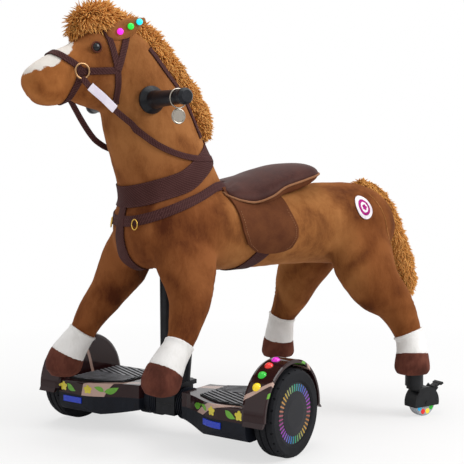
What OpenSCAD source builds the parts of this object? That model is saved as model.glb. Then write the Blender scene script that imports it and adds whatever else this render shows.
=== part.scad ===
// Ride-on plush horse: a self-balancing two-wheel board steers and carries the front,
// two swivel casters carry the hind hooves, and a steel frame runs through the stuffing.
// Lengths are millimetres. X runs from nose to tail, Y to the horse's right, Z up from the floor.

/* [Stance] */
// Angle of the board to the horse, drawn turned to its left lock
steer_deg = 21.5; // [0:0.5:21.5]
// Distance of the steering axis in front of the middle of the whole length
post_fwd = 167.8; // [163:0.1:173]
// Height of the back above the floor
back_z = 516; // [506:1:530]
// Distance of each front hoof's middle from the inner end of its foot pad
front_hoof_in = 35; // [28:1:40]
// Distance of each hind hoof from the middle plane
hind_hoof_y = 165; // [155:1:175]
// Height of the underside of the front hooves
front_hoof_z = 124; // [122:1:132]
// Height of the underside of the hind hooves
hind_hoof_z = 99; // [96:1:106]

/* [Board] */
// Length of the board over both tyres
board_len = 590; // [580:1:610]
// Depth of the board at the foot pads
board_d = 186; // [176:1:196]
// Depth of the board at its narrow middle
waist_d = 96; // [88:1:110]
// Height of the deck that the pads lie on
deck_z = 104; // [100:0.5:108]
// Height of the parting line between upper and lower shell
split_z = 76; // [72:0.5:76.5]
// Ground clearance under the lower shells
belly_z = 38; // [34:0.5:41]
// Wall of the shells
shell_t = 3; // [2:0.25:4]
// Corner radius along the bottom edges
keel_r = 20; // [14:0.5:22]
// Gap between tyre and mudguard
guard_gap = 11; // [8:0.5:14]
// Thickness of the mudguard
guard_t = 7; // [4:0.5:9]
// Width of the mudguard
guard_w = 54; // [48:1:58]
// Thickness of the foot pad without its ribs
pad_t = 2.5; // [1.5:0.25:3]
// Height of the ribs on the pad
rib_h = 1.5; // [0.8:0.1:2]
// Distance from rib to rib
rib_pitch = 12.5; // [10:0.5:20]
// Width of a rib
rib_w = 5.5; // [4:0.5:8]
// Length of the headlamps
lens_len = 50; // [40:1:60]
// Distance of the left headlamp's outer end from the wheel wall
left_lens_gap = 56; // [10:1:70]
// Distance of the right headlamp's outer end from the wheel wall
right_lens_gap = 15; // [10:1:70]

/* [Wheels] */
// Diameter of the board's tyres
wheel_d = 170; // [166:1:174]
// Width of the tyres
tyre_w = 46; // [42:1:50]
// Diameter of the hub motor
hub_d = 120; // [112:1:126]
// Diameter of the wheel axle
axle_d = 16; // [12:0.5:17]
// Width of the hub's rim around its light ring
ring_rim = 3; // [2:0.25:5]
// Width of the light ring's band
ring_w = 14; // [8:0.5:18]
// Diameter of the caster wheels
caster_d = 62; // [58:1:64]
// Width of the caster wheels
caster_w = 24; // [18:0.5:28]
// Distance of the caster axle behind its swivel
caster_trail = 24; // [18:0.5:28]
// Diameter of the caster stem
stem_d = 11; // [8:0.5:13]

/* [Fork] */
// Height of the pivot that the two half boards tilt about
pivot_z = 70; // [68:0.5:71]
// Diameter of the pivot tube
pivot_d = 28; // [24:0.5:30]
// Diameter of the ribbed collars at the pivot
collar_d = 66; // [60:1:67]
// Width of the clamp on the pivot tube
clamp_w = 48; // [40:1:50]
// Diameter of the fork legs
leg_tube_d = 26; // [22:0.5:30]
// Height of the crown's underside below the back
crown_drop = 164; // [160:1:168]
// Thickness of the crown
crown_t = 10; // [8:0.5:12]
// Diameter of the steering stem
steerer_d = 28; // [24:0.5:30]

/* [Frame and handle] */
// Diameter of the main frame tubes
tube_d = 28; // [24:1:30]
// Diameter of the hind-leg tubes
shank_d = 22; // [18:0.5:24]
// Diameter of the handlebar
bar_d = 22; // [20:0.5:25]
// Length of the handlebar over both grips
bar_len = 402; // [380:1:430]
// Diameter of the flange at the root of each grip
grip_flange_d = 54; // [48:1:58]

/* [Tack] */
// Thickness of the straps
strap_t = 2.5; // [1.5:0.25:3.5]
// Thickness of the saddle flaps
flap_t = 4.5; // [3:0.25:6]
// Width of the bridle straps
bridle_w = 13; // [9:0.5:16]
// Width of the reins
rein_w = 12; // [8:0.5:16]
// Radius of the rein rings, to the middle of their wire
bit_r = 14; // [11:0.5:16]
// Thickness of the rein rings' wire
bit_t = 3.8; // [3:0.1:4.5]

/* [Fits] */
// Radial clearance of turning and sliding fits
run_fit = 0.06; // [0.03:0.01:0.09]
// Clearance between parts that are assembled and stay put
seat_fit = 0.05; // [0.02:0.01:0.1]
// Gap between neighbouring stuffed pieces
seam = 0.4; // [0.3:0.05:0.6]

/* [Hidden] */
$fn = 48;
wheel_r = wheel_d / 2;
ring_d = hub_d - 2 * ring_rim;
wheel_out = board_len / 2;
wheel_in = wheel_out - tyre_w;
wall_y = wheel_in - 9;
half_in = 0.19 * wheel_out;
guard_r = wheel_r + guard_gap;
guard_in = wall_y - 6;
skirt_z = split_z;
rib_rake = 2;
pad_in = half_in + 44;
front_hoof_y = pad_in + front_hoof_in;
cavity_y = half_in + 0.115 * wheel_out;
pivot_end = cavity_y + 0.06 * wheel_out;
axle_root = wall_y - 0.15 * wheel_out;
bay_in = pivot_end + 6;
bay_out = axle_root - 6;
cavity_z = belly_z + 16;
pad_top = deck_z + pad_t;
crown_z = back_z - crown_drop;
collar_in = clamp_w / 2 + 3;
caster_r = caster_d / 2;
hood_r = caster_r + 2;
socket_z = caster_d + 8;
bar_x = -88;
bar_z = back_z + 167;
grip_in = 63;
beam_x = 430;
beam_z = back_z - 76;
wine = "#3c2326";
plush = "#9a6233";
cocoa = "#4a2a22";
black = "#1b1b1d";
brown = "#3a201a";

// Stations of the stuffed forms: x, y, z of the middle, radius up or forward, radius sideways
torso_at = [
    [-119, 0, back_z - 66, 16, 18], [-114, 0, back_z - 67, 44, 46], [-98, 0, back_z - 70, 76, 76],
    [-68, 0, back_z - 75, 94, 98], [-20, 0, back_z - 80, 99, 110], [60, 0, back_z - 85, 95, 111],
    [160, 0, back_z - 89, 88, 108], [280, 0, back_z - 89, 87, 106], [390, 0, back_z - 88, 91, 108],
    [468, 0, back_z - 91, 91, 105], [513, 0, back_z - 102, 79, 91], [546, 0, back_z - 112, 58, 66],
    [563, 0, back_z - 118, 32, 39], [568, 0, back_z - 120, 12, 16]
];
neck_at = [
    [-2, 0, back_z - 36, 112, 95], [-23, 0, back_z + 24, 102, 85], [-45, 0, back_z + 88, 96, 75],
    [-67, 0, back_z + 150, 90, 65], [-90, 0, back_z + 205, 76, 57], [-112, 0, back_z + 252, 60, 50],
    [-128, 0, back_z + 288, 42, 40], [-134, 0, back_z + 304, 20, 22]
];
head_at = [
    [-92, 0, back_z + 262, 34, 32], [-112, 0, back_z + 258, 58, 46], [-165, 0, back_z + 238, 76, 55],
    [-205, 0, back_z + 222, 65, 50], [-237, 0, back_z + 216, 49, 43], [-265, 0, back_z + 201, 47, 42],
    [-290, 0, back_z + 193, 43, 41], [-308, 0, back_z + 189, 33, 34], [-317, 0, back_z + 186, 19, 21],
    [-321, 0, back_z + 184, 7, 8]
];
mane_at = [
    [-128, 0, back_z + 322, 16, 16], [-104, 0, back_z + 320, 26, 24], [-62, 0, back_z + 296, 27, 25],
    [-24, 0, back_z + 252, 26, 25], [18, 0, back_z + 203, 26, 25], [54, 0, back_z + 146, 25, 24],
    [66, 0, back_z + 112, 18, 18], [70, 0, back_z + 96, 8, 10]
];
forelock_at = [
    [-116, 0, back_z + 330, 12, 14], [-136, 0, back_z + 328, 26, 30], [-166, 0, back_z + 326, 31, 38],
    [-191, 0, back_z + 318, 26, 34], [-208, 0, back_z + 302, 16, 24], [-214, 0, back_z + 290, 7, 12]
];
tail_at = [
    [494, 0, back_z - 8, 8, 12], [508, 0, back_z - 18, 18, 24], [538, 0, back_z - 60, 26, 33],
    [576, 0, back_z - 118, 29, 38], [611, 0, back_z - 174, 29, 38], [636, 0, back_z - 224, 26, 34],
    [645, 0, back_z - 250, 18, 24], [646, 0, back_z - 262, 8, 12]
];
seat_at = [
    [86, 0, back_z - 20, 12, 30], [96, 0, back_z - 26, 34, 62], [138, 0, back_z - 30, 45, 97],
    [178, 0, back_z - 21, 43, 99], [214, 0, back_z - 3, 36, 96], [262, 0, back_z + 10, 35, 89],
    [308, 0, back_z + 20, 28, 76], [334, 0, back_z + 25, 19, 54], [345, 0, back_z + 27, 8, 26]
];

// Limb stations run from the body to the sole; entry 4 is the sock's top and entry 6 the hoof's top
function front_limb(side) = let (s = side, y = front_hoof_y * s, z = front_hoof_z, f = s < 0 ? 0 : 1) [
    [-30 - 8 * f, 54 * s, back_z - 74, 52, 40], [-20 - 42 * f, 82 * s, back_z - 150, 65 - 7 * f, 46],
    [-24 - 71 * f, 0.76 * y, z + 176, 46 - 3 * f, 41], [-42 - 89 * f, 0.84 * y, z + 126, 35 - 2 * f, 33],
    [-60 - 90 * f, 0.90 * y, z + 88, 27, 27], [-82 - 84 * f, 0.95 * y, z + 64, 30, 30],
    [-98 - 82 * f, 0.98 * y, z + 42, 34, 33], [-108 - 78 * f, y, z + 24, 36, 34],
    [-114 - 74 * f, y, z + 10, 33, 31], [-117 - 72 * f, y, z, 22, 20]
];
function hind_limb(side) = let (s = side, y = hind_hoof_y * s, z = hind_hoof_z, f = s < 0 ? 0 : 1) [
    [446, 44 * s, back_z - 74, 72, 48], [434 - 10 * f, 82 * s, back_z - 156, 80 - 6 * f, 56],
    [447 - 41 * f, 0.67 * y, z + 196 + 4 * f, 63 - 5 * f, 50], [489 - 91 * f, 0.79 * y, z + 150 - 4 * f, 44 - f, 42],
    [514 - 129 * f, 0.90 * y, z + 86 + 12 * f, 32 - 2 * f, 31 - 2 * f], [515 - 130 * f, 0.95 * y, z + 64, 31, 31],
    [513 - 128 * f, 0.985 * y, z + 41, 33, 33], [511 - 126 * f, y, z + 24, 36, 35],
    [511 - 126 * f, y, z + 9, 37, 36], [511 - 126 * f, y, z, 31, 30]
];
function hind_x(side) = side < 0 ? 518 : 385;

// Curves and rings
function blend4(a, b, c, d, t) = 0.5 * (2 * b + (c - a) * t + (2 * a - 5 * b + 4 * c - d) * t * t
    + (3 * b - a - 3 * c + d) * t * t * t);
function smooth(p, n) = [
    for (i = [0 : len(p) - 2]) for (k = [0 : n - 1])
        blend4(p[max(i - 1, 0)], p[i], p[i + 1], p[min(i + 2, len(p) - 1)], k / n),
    p[len(p) - 1]
];
function spot(s) = [s[0], s[1], s[2]];
function heading(p, i) = let (v = spot(p[min(i + 1, len(p) - 1)]) - spot(p[max(i - 1, 0)])) v / norm(v);
function ring(s, t, n, grow, shift) = let (side = [0, 1, 0] - t[1] * t, u = side / norm(side), v = cross(t, u)) [
    for (k = [0 : n - 1]) spot(s) + shift * t
        + (s[3] + grow) * cos(360 * k / n) * v + (s[4] + grow) * sin(360 * k / n) * u
];

// Closed skin through the stations first to last, its two ends moved by the gap given
module loft(p, n, grow = 0, first = 0, last = -1, gap = 0) {
    end = last < 0 ? len(p) - 1 : last;
    rings = [for (i = [first : end]) ring(p[i], heading(p, i), n, grow,
        i == first ? gap - grow : i == end ? grow - gap : 0)];
    rows = len(rings);
    sides = [for (i = [0 : rows - 2]) for (k = [0 : n - 1]) let (m = (k + 1) % n) each [
        [i * n + k, i * n + m, i * n + n + m], [i * n + k, i * n + n + m, i * n + n + k]]];
    caps = [[for (k = [n - 1 : -1 : 0]) k], [for (k = [0 : n - 1]) (rows - 1) * n + k]];
    polyhedron([for (r = rings) each r], concat(sides, caps), convexity = 6);
}

// One sewn skin over everything given
module sewn() {
    resize([0, 0, 0]) children();
}

module torso_form(grow = 0) loft(smooth(torso_at, 2), 24, grow);
module neck_form(grow = 0) loft(smooth(neck_at, 2), 20, grow);
module head_form(grow = 0) loft(smooth(head_at, 2), 20, grow);
module mane_form(grow = 0) {
    loft(smooth(mane_at, 2), 12, grow);
    loft(smooth(forelock_at, 2), 12, grow);
}
module ear_form(grow = 0) for (s = [-1, 1]) loft(smooth([
    [-166, 36 * s, back_z + 284, 10, 8], [-152, 40 * s, back_z + 291, 17, 10],
    [-129, 44 * s, back_z + 303, 18, 10], [-108, 47 * s, back_z + 314, 12, 7],
    [-90, 48 * s, back_z + 323, 4, 3]], 2), 12, grow);

// Skin of given thickness lying on a form
module on_torso(t) difference() {
    torso_form(seam + t);
    torso_form(seam);
}
module on_neck(t) difference() {
    union() {
        torso_form(seam + t);
        neck_form(seam + t);
    }
    torso_form(seam);
    neck_form(seam);
}
module on_head(t) difference() {
    union() {
        head_form(seam + t);
        neck_form(seam + t);
    }
    head_form(seam);
    neck_form(seam);
}

// A side-view outline pushed through from left to right
module across(points, half = 200) {
    translate([0, half, 0]) rotate([90, 0, 0]) linear_extrude(2 * half) polygon(points);
}
module stripe(a, b, w) {
    d = (b - a) / norm(b - a) * w / 2;
    across([a - d + [-d[1], d[0]], b + d + [-d[1], d[0]], b + d - [-d[1], d[0]], a - d - [-d[1], d[0]]]);
}
function up(points) = [for (p = points) p + [0, back_z]];

// Round bar between two points, with a ball at its far end where another bar goes on
module bar(a, b, r, ball = true) {
    v = b - a;
    translate(a) rotate([0, acos(v[2] / norm(v)), atan2(v[1], v[0])]) rotate([0, 0, 100]) cylinder(r = r, h = norm(v));
    if (ball) translate(b) sphere(r = r + 0.4);
}

// Places
module steered() rotate([0, 0, steer_deg]) children();
module left() mirror([0, 1, 0]) children();
module on_axle() translate([0, 0, wheel_r]) rotate([-90, 0, 0]) children();
module on_pivot() translate([0, 0, pivot_z]) rotate([-90, 0, 0]) children();
module on_bar() translate([bar_x, 0, bar_z]) rotate([-90, 0, 0]) children();
module at_caster(side) translate([hind_x(side), side * hind_hoof_y, 0]) children();

// Board, drawn for the right half
function half_depth(y) = let (t = min(1, max(0, (y - half_in) / 120)))
    waist_d / 2 + (board_d - waist_d) / 2 * t * t * (3 - 2 * t);
function plan_y(y0, y1) = [for (i = [0 : 14]) y0 + (y1 - y0) * i / 14];
module plan(inset, y0, y1) {
    ys = plan_y(y0, y1);
    polygon(concat([for (y = ys) [inset - half_depth(y), y]],
        [for (i = [len(ys) - 1 : -1 : 0]) [half_depth(ys[i]) - inset, ys[i]]]));
}
module hull_section(w, z0, z1, r0, r1) {
    translate([-w / 2 + r0, z0]) square([w - 2 * r0, z1 - z0]);
    translate([-w / 2, z0 + r0]) square([w, z1 - z0 - r0 - r1]);
    translate([-w / 2 + r1, z0 + r0]) square([w - 2 * r1, z1 - z0 - r0]);
    for (s = [-1, 1]) {
        translate([s * (w / 2 - r0), z0 + r0]) circle(r = r0);
        translate([s * (w / 2 - r1), z1 - r1]) circle(r = r1);
    }
}
module hull_body() intersection() {
    linear_extrude(deck_z) plan(0, half_in, wall_y);
    translate([0, wall_y, 0]) rotate([90, 0, 0]) linear_extrude(wall_y - half_in)
        hull_section(board_d, belly_z, deck_z, keel_r, 6);
    translate([-board_d / 2, 0, 0]) rotate([90, 0, 90]) linear_extrude(board_d) polygon(concat(
        [for (i = [0 : 8]) [half_in + 110 * i / 8, belly_z + 14 * pow(1 - i / 8, 2)]],
        [[wall_y, belly_z], [wall_y, deck_z], [half_in, deck_z]]));
}
module cavity() translate([0, 0, cavity_z]) linear_extrude(deck_z - shell_t - cavity_z)
    plan(shell_t, cavity_y, wall_y - 4);
module wheel_well() on_axle() translate([0, 0, wall_y]) cylinder(r = guard_r, h = 200);
module pivot_bore(r) on_pivot() cylinder(r = r, h = cavity_y + 1);

module upper_shell() color(brown) difference() {
    union() {
        intersection() {
            hull_body();
            translate([-200, 0, split_z + seat_fit]) cube([400, 400, 200]);
        }
        on_axle() rotate([0, 0, 180]) rotate_extrude(angle = 180) polygon([
            [0, guard_in], [guard_r + guard_t - 8, guard_in], [guard_r + guard_t - 2.4, guard_in + 2.4],
            [guard_r + guard_t, guard_in + 8], [guard_r + guard_t, guard_in + guard_w - 2],
            [guard_r + guard_t - 2, guard_in + guard_w], [guard_r, guard_in + guard_w],
            [guard_r, wall_y], [0, wall_y]]);
        for (m = [0, 1]) mirror([m, 0, 0]) translate([0, guard_in + guard_w - 2, 0]) rotate([90, 0, 0])
            linear_extrude(guard_w - 10) polygon([[guard_r, wheel_r + 1], [guard_r + guard_t - 1, wheel_r + 1],
                [guard_r + guard_t + 8 - 4 * m, skirt_z], [guard_r + 10 - 4 * m, skirt_z],
                [guard_r + 1.5, wheel_r - 4]]);
    }
    cavity();
    wheel_well();
    on_axle() cylinder(r = axle_d / 2 + seat_fit, h = wheel_out);
    pivot_bore(pivot_d / 2 + 0.5);
    on_pivot() cylinder(r = collar_d / 2 + 1, h = half_in + 19.5);
}

module lower_shell(button = false) color(black) difference() {
    union() {
        intersection() {
            hull_body();
            translate([-200, 0, 0]) cube([400, 400, split_z]);
        }
        on_pivot() rotate_extrude() polygon(concat([[0, half_in + 19], [0, collar_in]],
            [for (i = [0 : 3]) each let (y = collar_in + i * 5) [
                [collar_d / 2 - 1, y], [collar_d / 2, y + 1], [collar_d / 2, y + 2.5], [collar_d / 2 - 3, y + 3],
                [collar_d / 2 - 3, y + 4.5]]],
            [[collar_d / 2, half_in + 4], [collar_d / 2, half_in + 19]]));
    }
    cavity();
    wheel_well();
    pivot_bore(pivot_d / 2 + run_fit);
    if (button) on_button() cylinder(r = button_d / 2 + run_fit, h = 60);
}

module foot_pad() color(black) {
    translate([0, 0, deck_z]) linear_extrude(pad_t) plan(16, pad_in, guard_in - 10);
    translate([0, 0, pad_top]) linear_extrude(rib_h) intersection() {
        plan(19, pad_in + 3, guard_in - 13);
        for (y = [pad_in + 6 - 7 * rib_rake * rib_pitch : rib_rake * rib_pitch : guard_in - 25]) translate([0, y])
            scale([1, rib_rake]) polygon([[0, 0], [board_d / 2, board_d / 2], [board_d / 2, board_d / 2 + rib_w],
                [0, rib_w], [-board_d / 2, board_d / 2 + rib_w], [-board_d / 2, board_d / 2]]);
    }
}

module lamps(lens_gap) color("#2f7bff") {
    difference() {
        intersection() {
            translate([0, 0, belly_z + keel_r + 1]) linear_extrude(split_z - belly_z - keel_r - 6) plan(-2.5, half_in, wall_y);
            translate([-200, wall_y - lens_gap - lens_len, 0]) cube([200, lens_len, 100]);
        }
        linear_extrude(100) plan(-seat_fit, half_in, wall_y);
    }
    for (a = [37, 52, 67, 81]) difference() {
        on_axle() rotate([0, 0, 180 + a]) translate([guard_r + guard_t - 3, 0, guard_in + 24]) sphere(r = 9);
        on_axle() cylinder(r = guard_r + guard_t + seat_fit, h = wheel_out);
    }
}

module axle() color("#8d9094") {
    on_axle() translate([0, 0, axle_root]) cylinder(d = axle_d, h = wheel_out - 7 - axle_root);
    translate([-20, axle_root, cavity_z]) cube([40, wall_y - 10 - axle_root, wheel_r + 12 - cavity_z]);
}

module tyre() color("#1a1a1b") difference() {
    on_axle() rotate_extrude($fn = 96) polygon(concat(
        [[hub_d / 2, wheel_in + 3], [hub_d / 2 + 4, wheel_in + 0.6], [wheel_r - 7, wheel_in], [wheel_r - 2, wheel_in + 3],
        [wheel_r, wheel_in + 9]],
        [for (g = [-7, 7]) each let (y = wheel_out - tyre_w / 2 + g) [
            [wheel_r, y - 1.8], [wheel_r - 2.5, y - 1.2], [wheel_r - 2.5, y + 1.2], [wheel_r, y + 1.8]]],
        [[wheel_r, wheel_out - 9], [wheel_r - 2, wheel_out - 3], [wheel_r - 7, wheel_out],
        [hub_d / 2 + 4, wheel_out - 0.6], [hub_d / 2, wheel_out - 3]]));
    for (a = [0 : 15 : 345]) on_axle() rotate([0, 0, a]) {
        translate([wheel_r - 3, -2, wheel_in - 1]) cube([6, 4, 8]);
        translate([wheel_r - 3, -2, wheel_out - 7]) cube([6, 4, 8]);
    }
}

module hub() color("#26272a") on_axle() rotate_extrude($fn = 96) polygon([
    [axle_d / 2 + run_fit, wheel_in - 3], [hub_d / 2 - 8, wheel_in - 3], [hub_d / 2 - seat_fit, wheel_in + 5],
    [hub_d / 2 - seat_fit, wheel_out - 4], [ring_d / 2 + seat_fit, wheel_out - 4], [ring_d / 2 + seat_fit, wheel_out - 7],
    [ring_d / 2 - ring_w - seat_fit, wheel_out - 7], [ring_d / 2 - ring_w - seat_fit, wheel_out - 3],
    [ring_d / 4, wheel_out - 1.5], [0, wheel_out - 1.5], [0, wheel_out - 5], [axle_d / 2 + run_fit, wheel_out - 5]]);

module light_ring() color("#ffffff") on_axle() translate([0, 0, wheel_out - 7]) difference() {
    cylinder(d = ring_d, h = 3.6, $fn = 96);
    translate([0, 0, -1]) cylinder(d = ring_d - 2 * ring_w, h = 6, $fn = 96);
}

module pivot_tube() color("#8d9094") on_pivot() translate([0, 0, -pivot_end]) difference() {
    cylinder(d = pivot_d, h = 2 * pivot_end);
    translate([0, 0, -1]) cylinder(d = pivot_d - 8, h = 2 * pivot_end + 2);
}

module battery_pack() color("#2c6fb0") translate([-52, bay_in, cavity_z]) cube([104, bay_out - bay_in, 36]);

module control_board() color("#1f6b3a") {
    translate([-48, bay_in, cavity_z + 5]) cube([96, bay_out - bay_in, 2]);
    for (x = [-40, 40], y = [bay_in + 8, bay_out - 8]) translate([x, y, cavity_z]) cylinder(r = 4, h = 6);
    for (i = [-1 : 1]) translate([i * 22, (bay_in + bay_out) / 2 - 6, cavity_z + 6]) cylinder(r = 8, h = 22);
}

// Rear wall button, free to go in
button_d = 12;
button_y = half_in + 107;
module on_button() translate([half_depth(button_y) - shell_t - 20, button_y, (belly_z + keel_r + split_z) / 2]) rotate([0, 90, 0]) children();
module power_button() color("#c9cdd2") on_button() {
    translate([0, 0, 12]) cylinder(d = button_d, h = shell_t + 10.5);
    translate([0, 0, 12]) cylinder(d = button_d + 5, h = 5);
}

// Fork and clamp
module front_fork() color(black) {
    difference() {
        union() {
            translate([-32, -clamp_w / 2, pivot_z + seat_fit]) cube([64, clamp_w, deck_z + 12 - pivot_z]);
            translate([-28, -clamp_w / 2 - 12, deck_z + 3]) cube([56, clamp_w + 24, 9]);
        }
        on_pivot() translate([0, 0, -clamp_w]) cylinder(r = pivot_d / 2 + seat_fit, h = 2 * clamp_w);
        clamp_holes(0.3);
    }
    for (s = [-1, 1]) bar([2, s * 22, deck_z + 8], [16, s * 35, crown_z + crown_t / 2], leg_tube_d / 2, false);
    translate([0, 0, crown_z]) linear_extrude(crown_t) {
        translate([-24, -39]) square([70, 78]);
        translate([-12, -51]) square([46, 102]);
        for (x = [-12, 34], y = [-39, 39]) translate([x, y]) circle(r = 12);
    }
    translate([0, 0, crown_z]) cylinder(d = steerer_d, h = crown_drop - 32);
}
module at_bolts() for (x = [-23, 23], y = [-14, 14]) translate([x, y, pivot_z]) children();
module clamp_holes(extra) at_bolts() translate([0, 0, -18]) cylinder(r = 4 + extra, h = 42);
module clamp_cap() color(black) difference() {
    translate([-32, -clamp_w / 2, pivot_z - 22]) cube([64, clamp_w, 22 - seat_fit]);
    on_pivot() translate([0, 0, -clamp_w]) cylinder(r = pivot_d / 2 + seat_fit, h = 2 * clamp_w);
    clamp_holes(0.3);
    at_bolts() translate([0, 0, -30]) cylinder(r = 7.2, h = 14);
}
module clamp_bolts() color("#b8bcc2") {
    clamp_holes(0);
    at_bolts() translate([0, 0, -21]) cylinder(r = 6.5, h = 5 - seat_fit, $fn = 6);
}

// Frame inside the stuffing; extra widens it for the channels
function shank_path(side) = let (p = hind_limb(side)) [
    [beam_x, side * 82, beam_z],
    [0.4 * p[3][0] + 0.6 * p[4][0], side * 0.84 * hind_hoof_y, p[3][2] - 26],
    [hind_x(side), side * hind_hoof_y, hind_hoof_z + 30]];
module frame_tubes(extra) {
    translate([0, 0, crown_z + 22]) cylinder(r = steerer_d / 2 + 7 + extra, h = crown_drop - 68 + extra);
    translate([steerer_d / 2 + 4, -tube_d / 2 - extra, beam_z - tube_d / 2 - extra])
        cube([beam_x - steerer_d / 2 - 4, tube_d + 2 * extra, tube_d + 2 * extra]);
    bar([-30, 0, beam_z], [bar_x, 0, bar_z], tube_d / 2 + extra);
    on_bar() translate([0, 0, -22 - extra]) cylinder(r = bar_d / 2 + 6 + extra, h = 44 + 2 * extra);
    translate([beam_x, -82, beam_z]) rotate([-90, 0, 0]) cylinder(r = tube_d / 2 + extra, h = 164);
    for (s = [-1, 1]) let (p = shank_path(s)) {
        translate(p[0]) sphere(r = tube_d / 2 + 0.4 + extra);
        bar(p[0], p[1], shank_d / 2 + extra);
        bar(p[1], p[2], shank_d / 2 + extra);
        at_caster(s) translate([0, 0, hind_hoof_z - 0.3 - 9 * extra]) cylinder(r = shank_d / 2 + extra, h = 30.3 + 9 * extra);
    }
}
module steel_frame() color("#55585c") difference() {
    frame_tubes(0);
    translate([0, 0, crown_z]) cylinder(r = steerer_d / 2 + 2 + seat_fit, h = crown_drop);
    on_bar() translate([0, 0, -50]) cylinder(r = bar_d / 2 + seat_fit, h = 100);
}
module steering_bushes() color("#c8a24a") for (m = [0, 1])
    translate([0, 0, crown_z + 22 + m * (crown_drop - 68)]) mirror([0, 0, m]) difference() {
        union() {
            translate([0, 0, -3 - seat_fit]) cylinder(r = steerer_d / 2 + 6, h = 3);
            translate([0, 0, -1]) cylinder(r = steerer_d / 2 + 2, h = 22);
        }
        translate([0, 0, -10]) cylinder(r = steerer_d / 2 + run_fit, h = 60);
    }

// Room that the turning crown and stem need inside the chest
module crown_room() {
    translate([0, 0, crown_z - 60]) cylinder(r = 74, h = 60 + crown_t + 5, $fn = 24);
    cylinder(r = steerer_d / 2 + 9, h = crown_z + crown_drop - 20);
}
module channels($fn = 12) {
    frame_tubes(1.2);
    crown_room();
    on_bar() translate([0, 0, -120]) cylinder(r = bar_d / 2 + 1.2, h = 240);
}

module handlebar() color("#2a2b2d") on_bar() translate([0, 0, -bar_len / 2 + 16]) difference() {
    cylinder(d = bar_d, h = bar_len - 32);
    translate([0, 0, -1]) cylinder(d = bar_d - 4, h = bar_len - 30);
}
module grip() color(black) on_bar() rotate_extrude() polygon([
    [bar_d / 2 + seat_fit, grip_in], [grip_flange_d / 2 - 1.5, grip_in], [grip_flange_d / 2, grip_in + 2], [grip_flange_d / 2, grip_in + 7],
    [grip_flange_d / 2 - 5, grip_in + 13], [bar_d / 2 + 7, grip_in + 17], [bar_d / 2 + 5, grip_in + 34], [bar_d / 2 + 3, bar_len / 2 - 44],
    [bar_d / 2 + 2.5, bar_len / 2 - 18], [bar_d / 2 + 4.5, bar_len / 2 - 13], [bar_d / 2 + 4.5, bar_len / 2 - 6],
    [bar_d / 2, bar_len / 2], [0, bar_len / 2], [0, bar_len / 2 - 15], [bar_d / 2 + seat_fit, bar_len / 2 - 15]]);
module key_ring() color("#c9cdd2") translate([bar_x, -bar_len / 2 + 32, bar_z]) rotate([90, 0, 0]) {
    hang = bar_d / 2 + 2.5;
    translate([0, -2.6, 0]) rotate_extrude($fn = 32) translate([hang + 4.2, 0]) circle(r = 1.3, $fn = 12);
    translate([0, -hang - 22, 0]) {
        rotate_extrude($fn = 32) translate([13, 0]) circle(r = 1.8, $fn = 12);
        translate([0, 0, -0.8]) cylinder(r = 12, h = 1.6);
    }
}

// Stuffed body
module torso() color(plush) sewn() difference() {
    torso_form();
    channels();
}
module neck() color(plush) sewn() difference() {
    neck_form();
    torso_form(seam);
    channels();
    for (side = [0, 1]) mirror([0, side, 0]) on_bar() translate([0, 0, grip_in - 2 * seam])
        cylinder(d = grip_flange_d + 4 * seam, h = 30);
}
module head() color(plush) sewn() difference() {
    head_form();
    neck_form(seam);
    channels();
}
module ears() color(plush) sewn() difference() {
    ear_form();
    head_form(seam);
    neck_form(seam);
}
module ear_lamps() color("#39d2e6") sewn() difference() {
    for (s = [-1, 1], p = [[-146, 51, 295], [-125, 54, 306], [-106, 54, 316]])
        translate([p[0], s * p[1], back_z + p[2]]) sphere(r = 6, $fn = 12);
    ear_form(seam);
    head_form(seam);
}
module eyes() color("#0d0d0e") sewn() difference() {
    for (s = [-1, 1]) translate([-194, s * 44, back_z + 263]) scale([1, 0.8, 1]) sphere(r = 9.5, $fn = 18);
    head_form(seam);
}
module mane() color("#b5793a") sewn() difference() {
    mane_form();
    neck_form(seam);
    head_form(seam);
    torso_form(seam);
    ear_form(seam);
}
module tail() color("#b5793a") sewn() difference() {
    loft(smooth(tail_at, 2), 14);
    torso_form(seam);
}
function limb(front, side) = smooth(front ? front_limb(side) : hind_limb(side), 2);
module leg(front, side) color(plush) sewn() difference() {
    loft(limb(front, side), 14, 0, 0, 8, seam / 2);
    torso_form(seam);
    if (front) neck_form(seam);
    channels();
}
module sock(front, side) color("#e9e6df") sewn() difference() {
    loft(limb(front, side), 14, 2.2, 8, 12, 2.2 + seam / 2);
    channels();
}
module hoof(front, side) color(cocoa) sewn() difference() {
    loft(limb(front, side), 14, 3, 12, 18, 3 + seam / 2);
    translate([-400, -400, 0]) cube([1200, 800, front ? front_hoof_z - 2 : 20]);
    channels();
}

// Saddle and tack
flap_outline = up([[72, -8], [86, -50], [97, -92], [112, -118], [136, -133], [170, -139], [206, -138], [228, -130],
    [238, -108], [236, -88], [222, -56], [214, -20], [214, 30], [100, 30]]);
module saddle_flaps() color("#6b3f26") sewn() difference() {
    intersection() {
        on_torso(flap_t);
        across(flap_outline);
    }
    neck_form(seam);
}
module saddle_seat() color("#45281f") sewn() difference() {
    loft(smooth(seat_at, 2), 22);
    torso_form(2 * seam + flap_t);
    neck_form(seam);
}
module girth() color(wine) sewn() intersection() {
    on_torso(strap_t);
    difference() {
        across(up([[168, -100], [200, -100], [152, -200], [118, -200]]));
        across([for (p = flap_outline) p - [0, 1]]);
    }
}
module breast_collar() color(wine) sewn() difference() {
    intersection() {
        on_neck(strap_t);
        across(up([[-160, 0], [-120, 1], [-80, 13], [-24, 32], [14, 58], [56, 88], [110, 100],
            [110, 62], [66, 40], [23, 16], [-30, -11], [-86, -31], [-125, -43], [-160, -44]]));
    }
    mane_form(seam);
}
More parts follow.
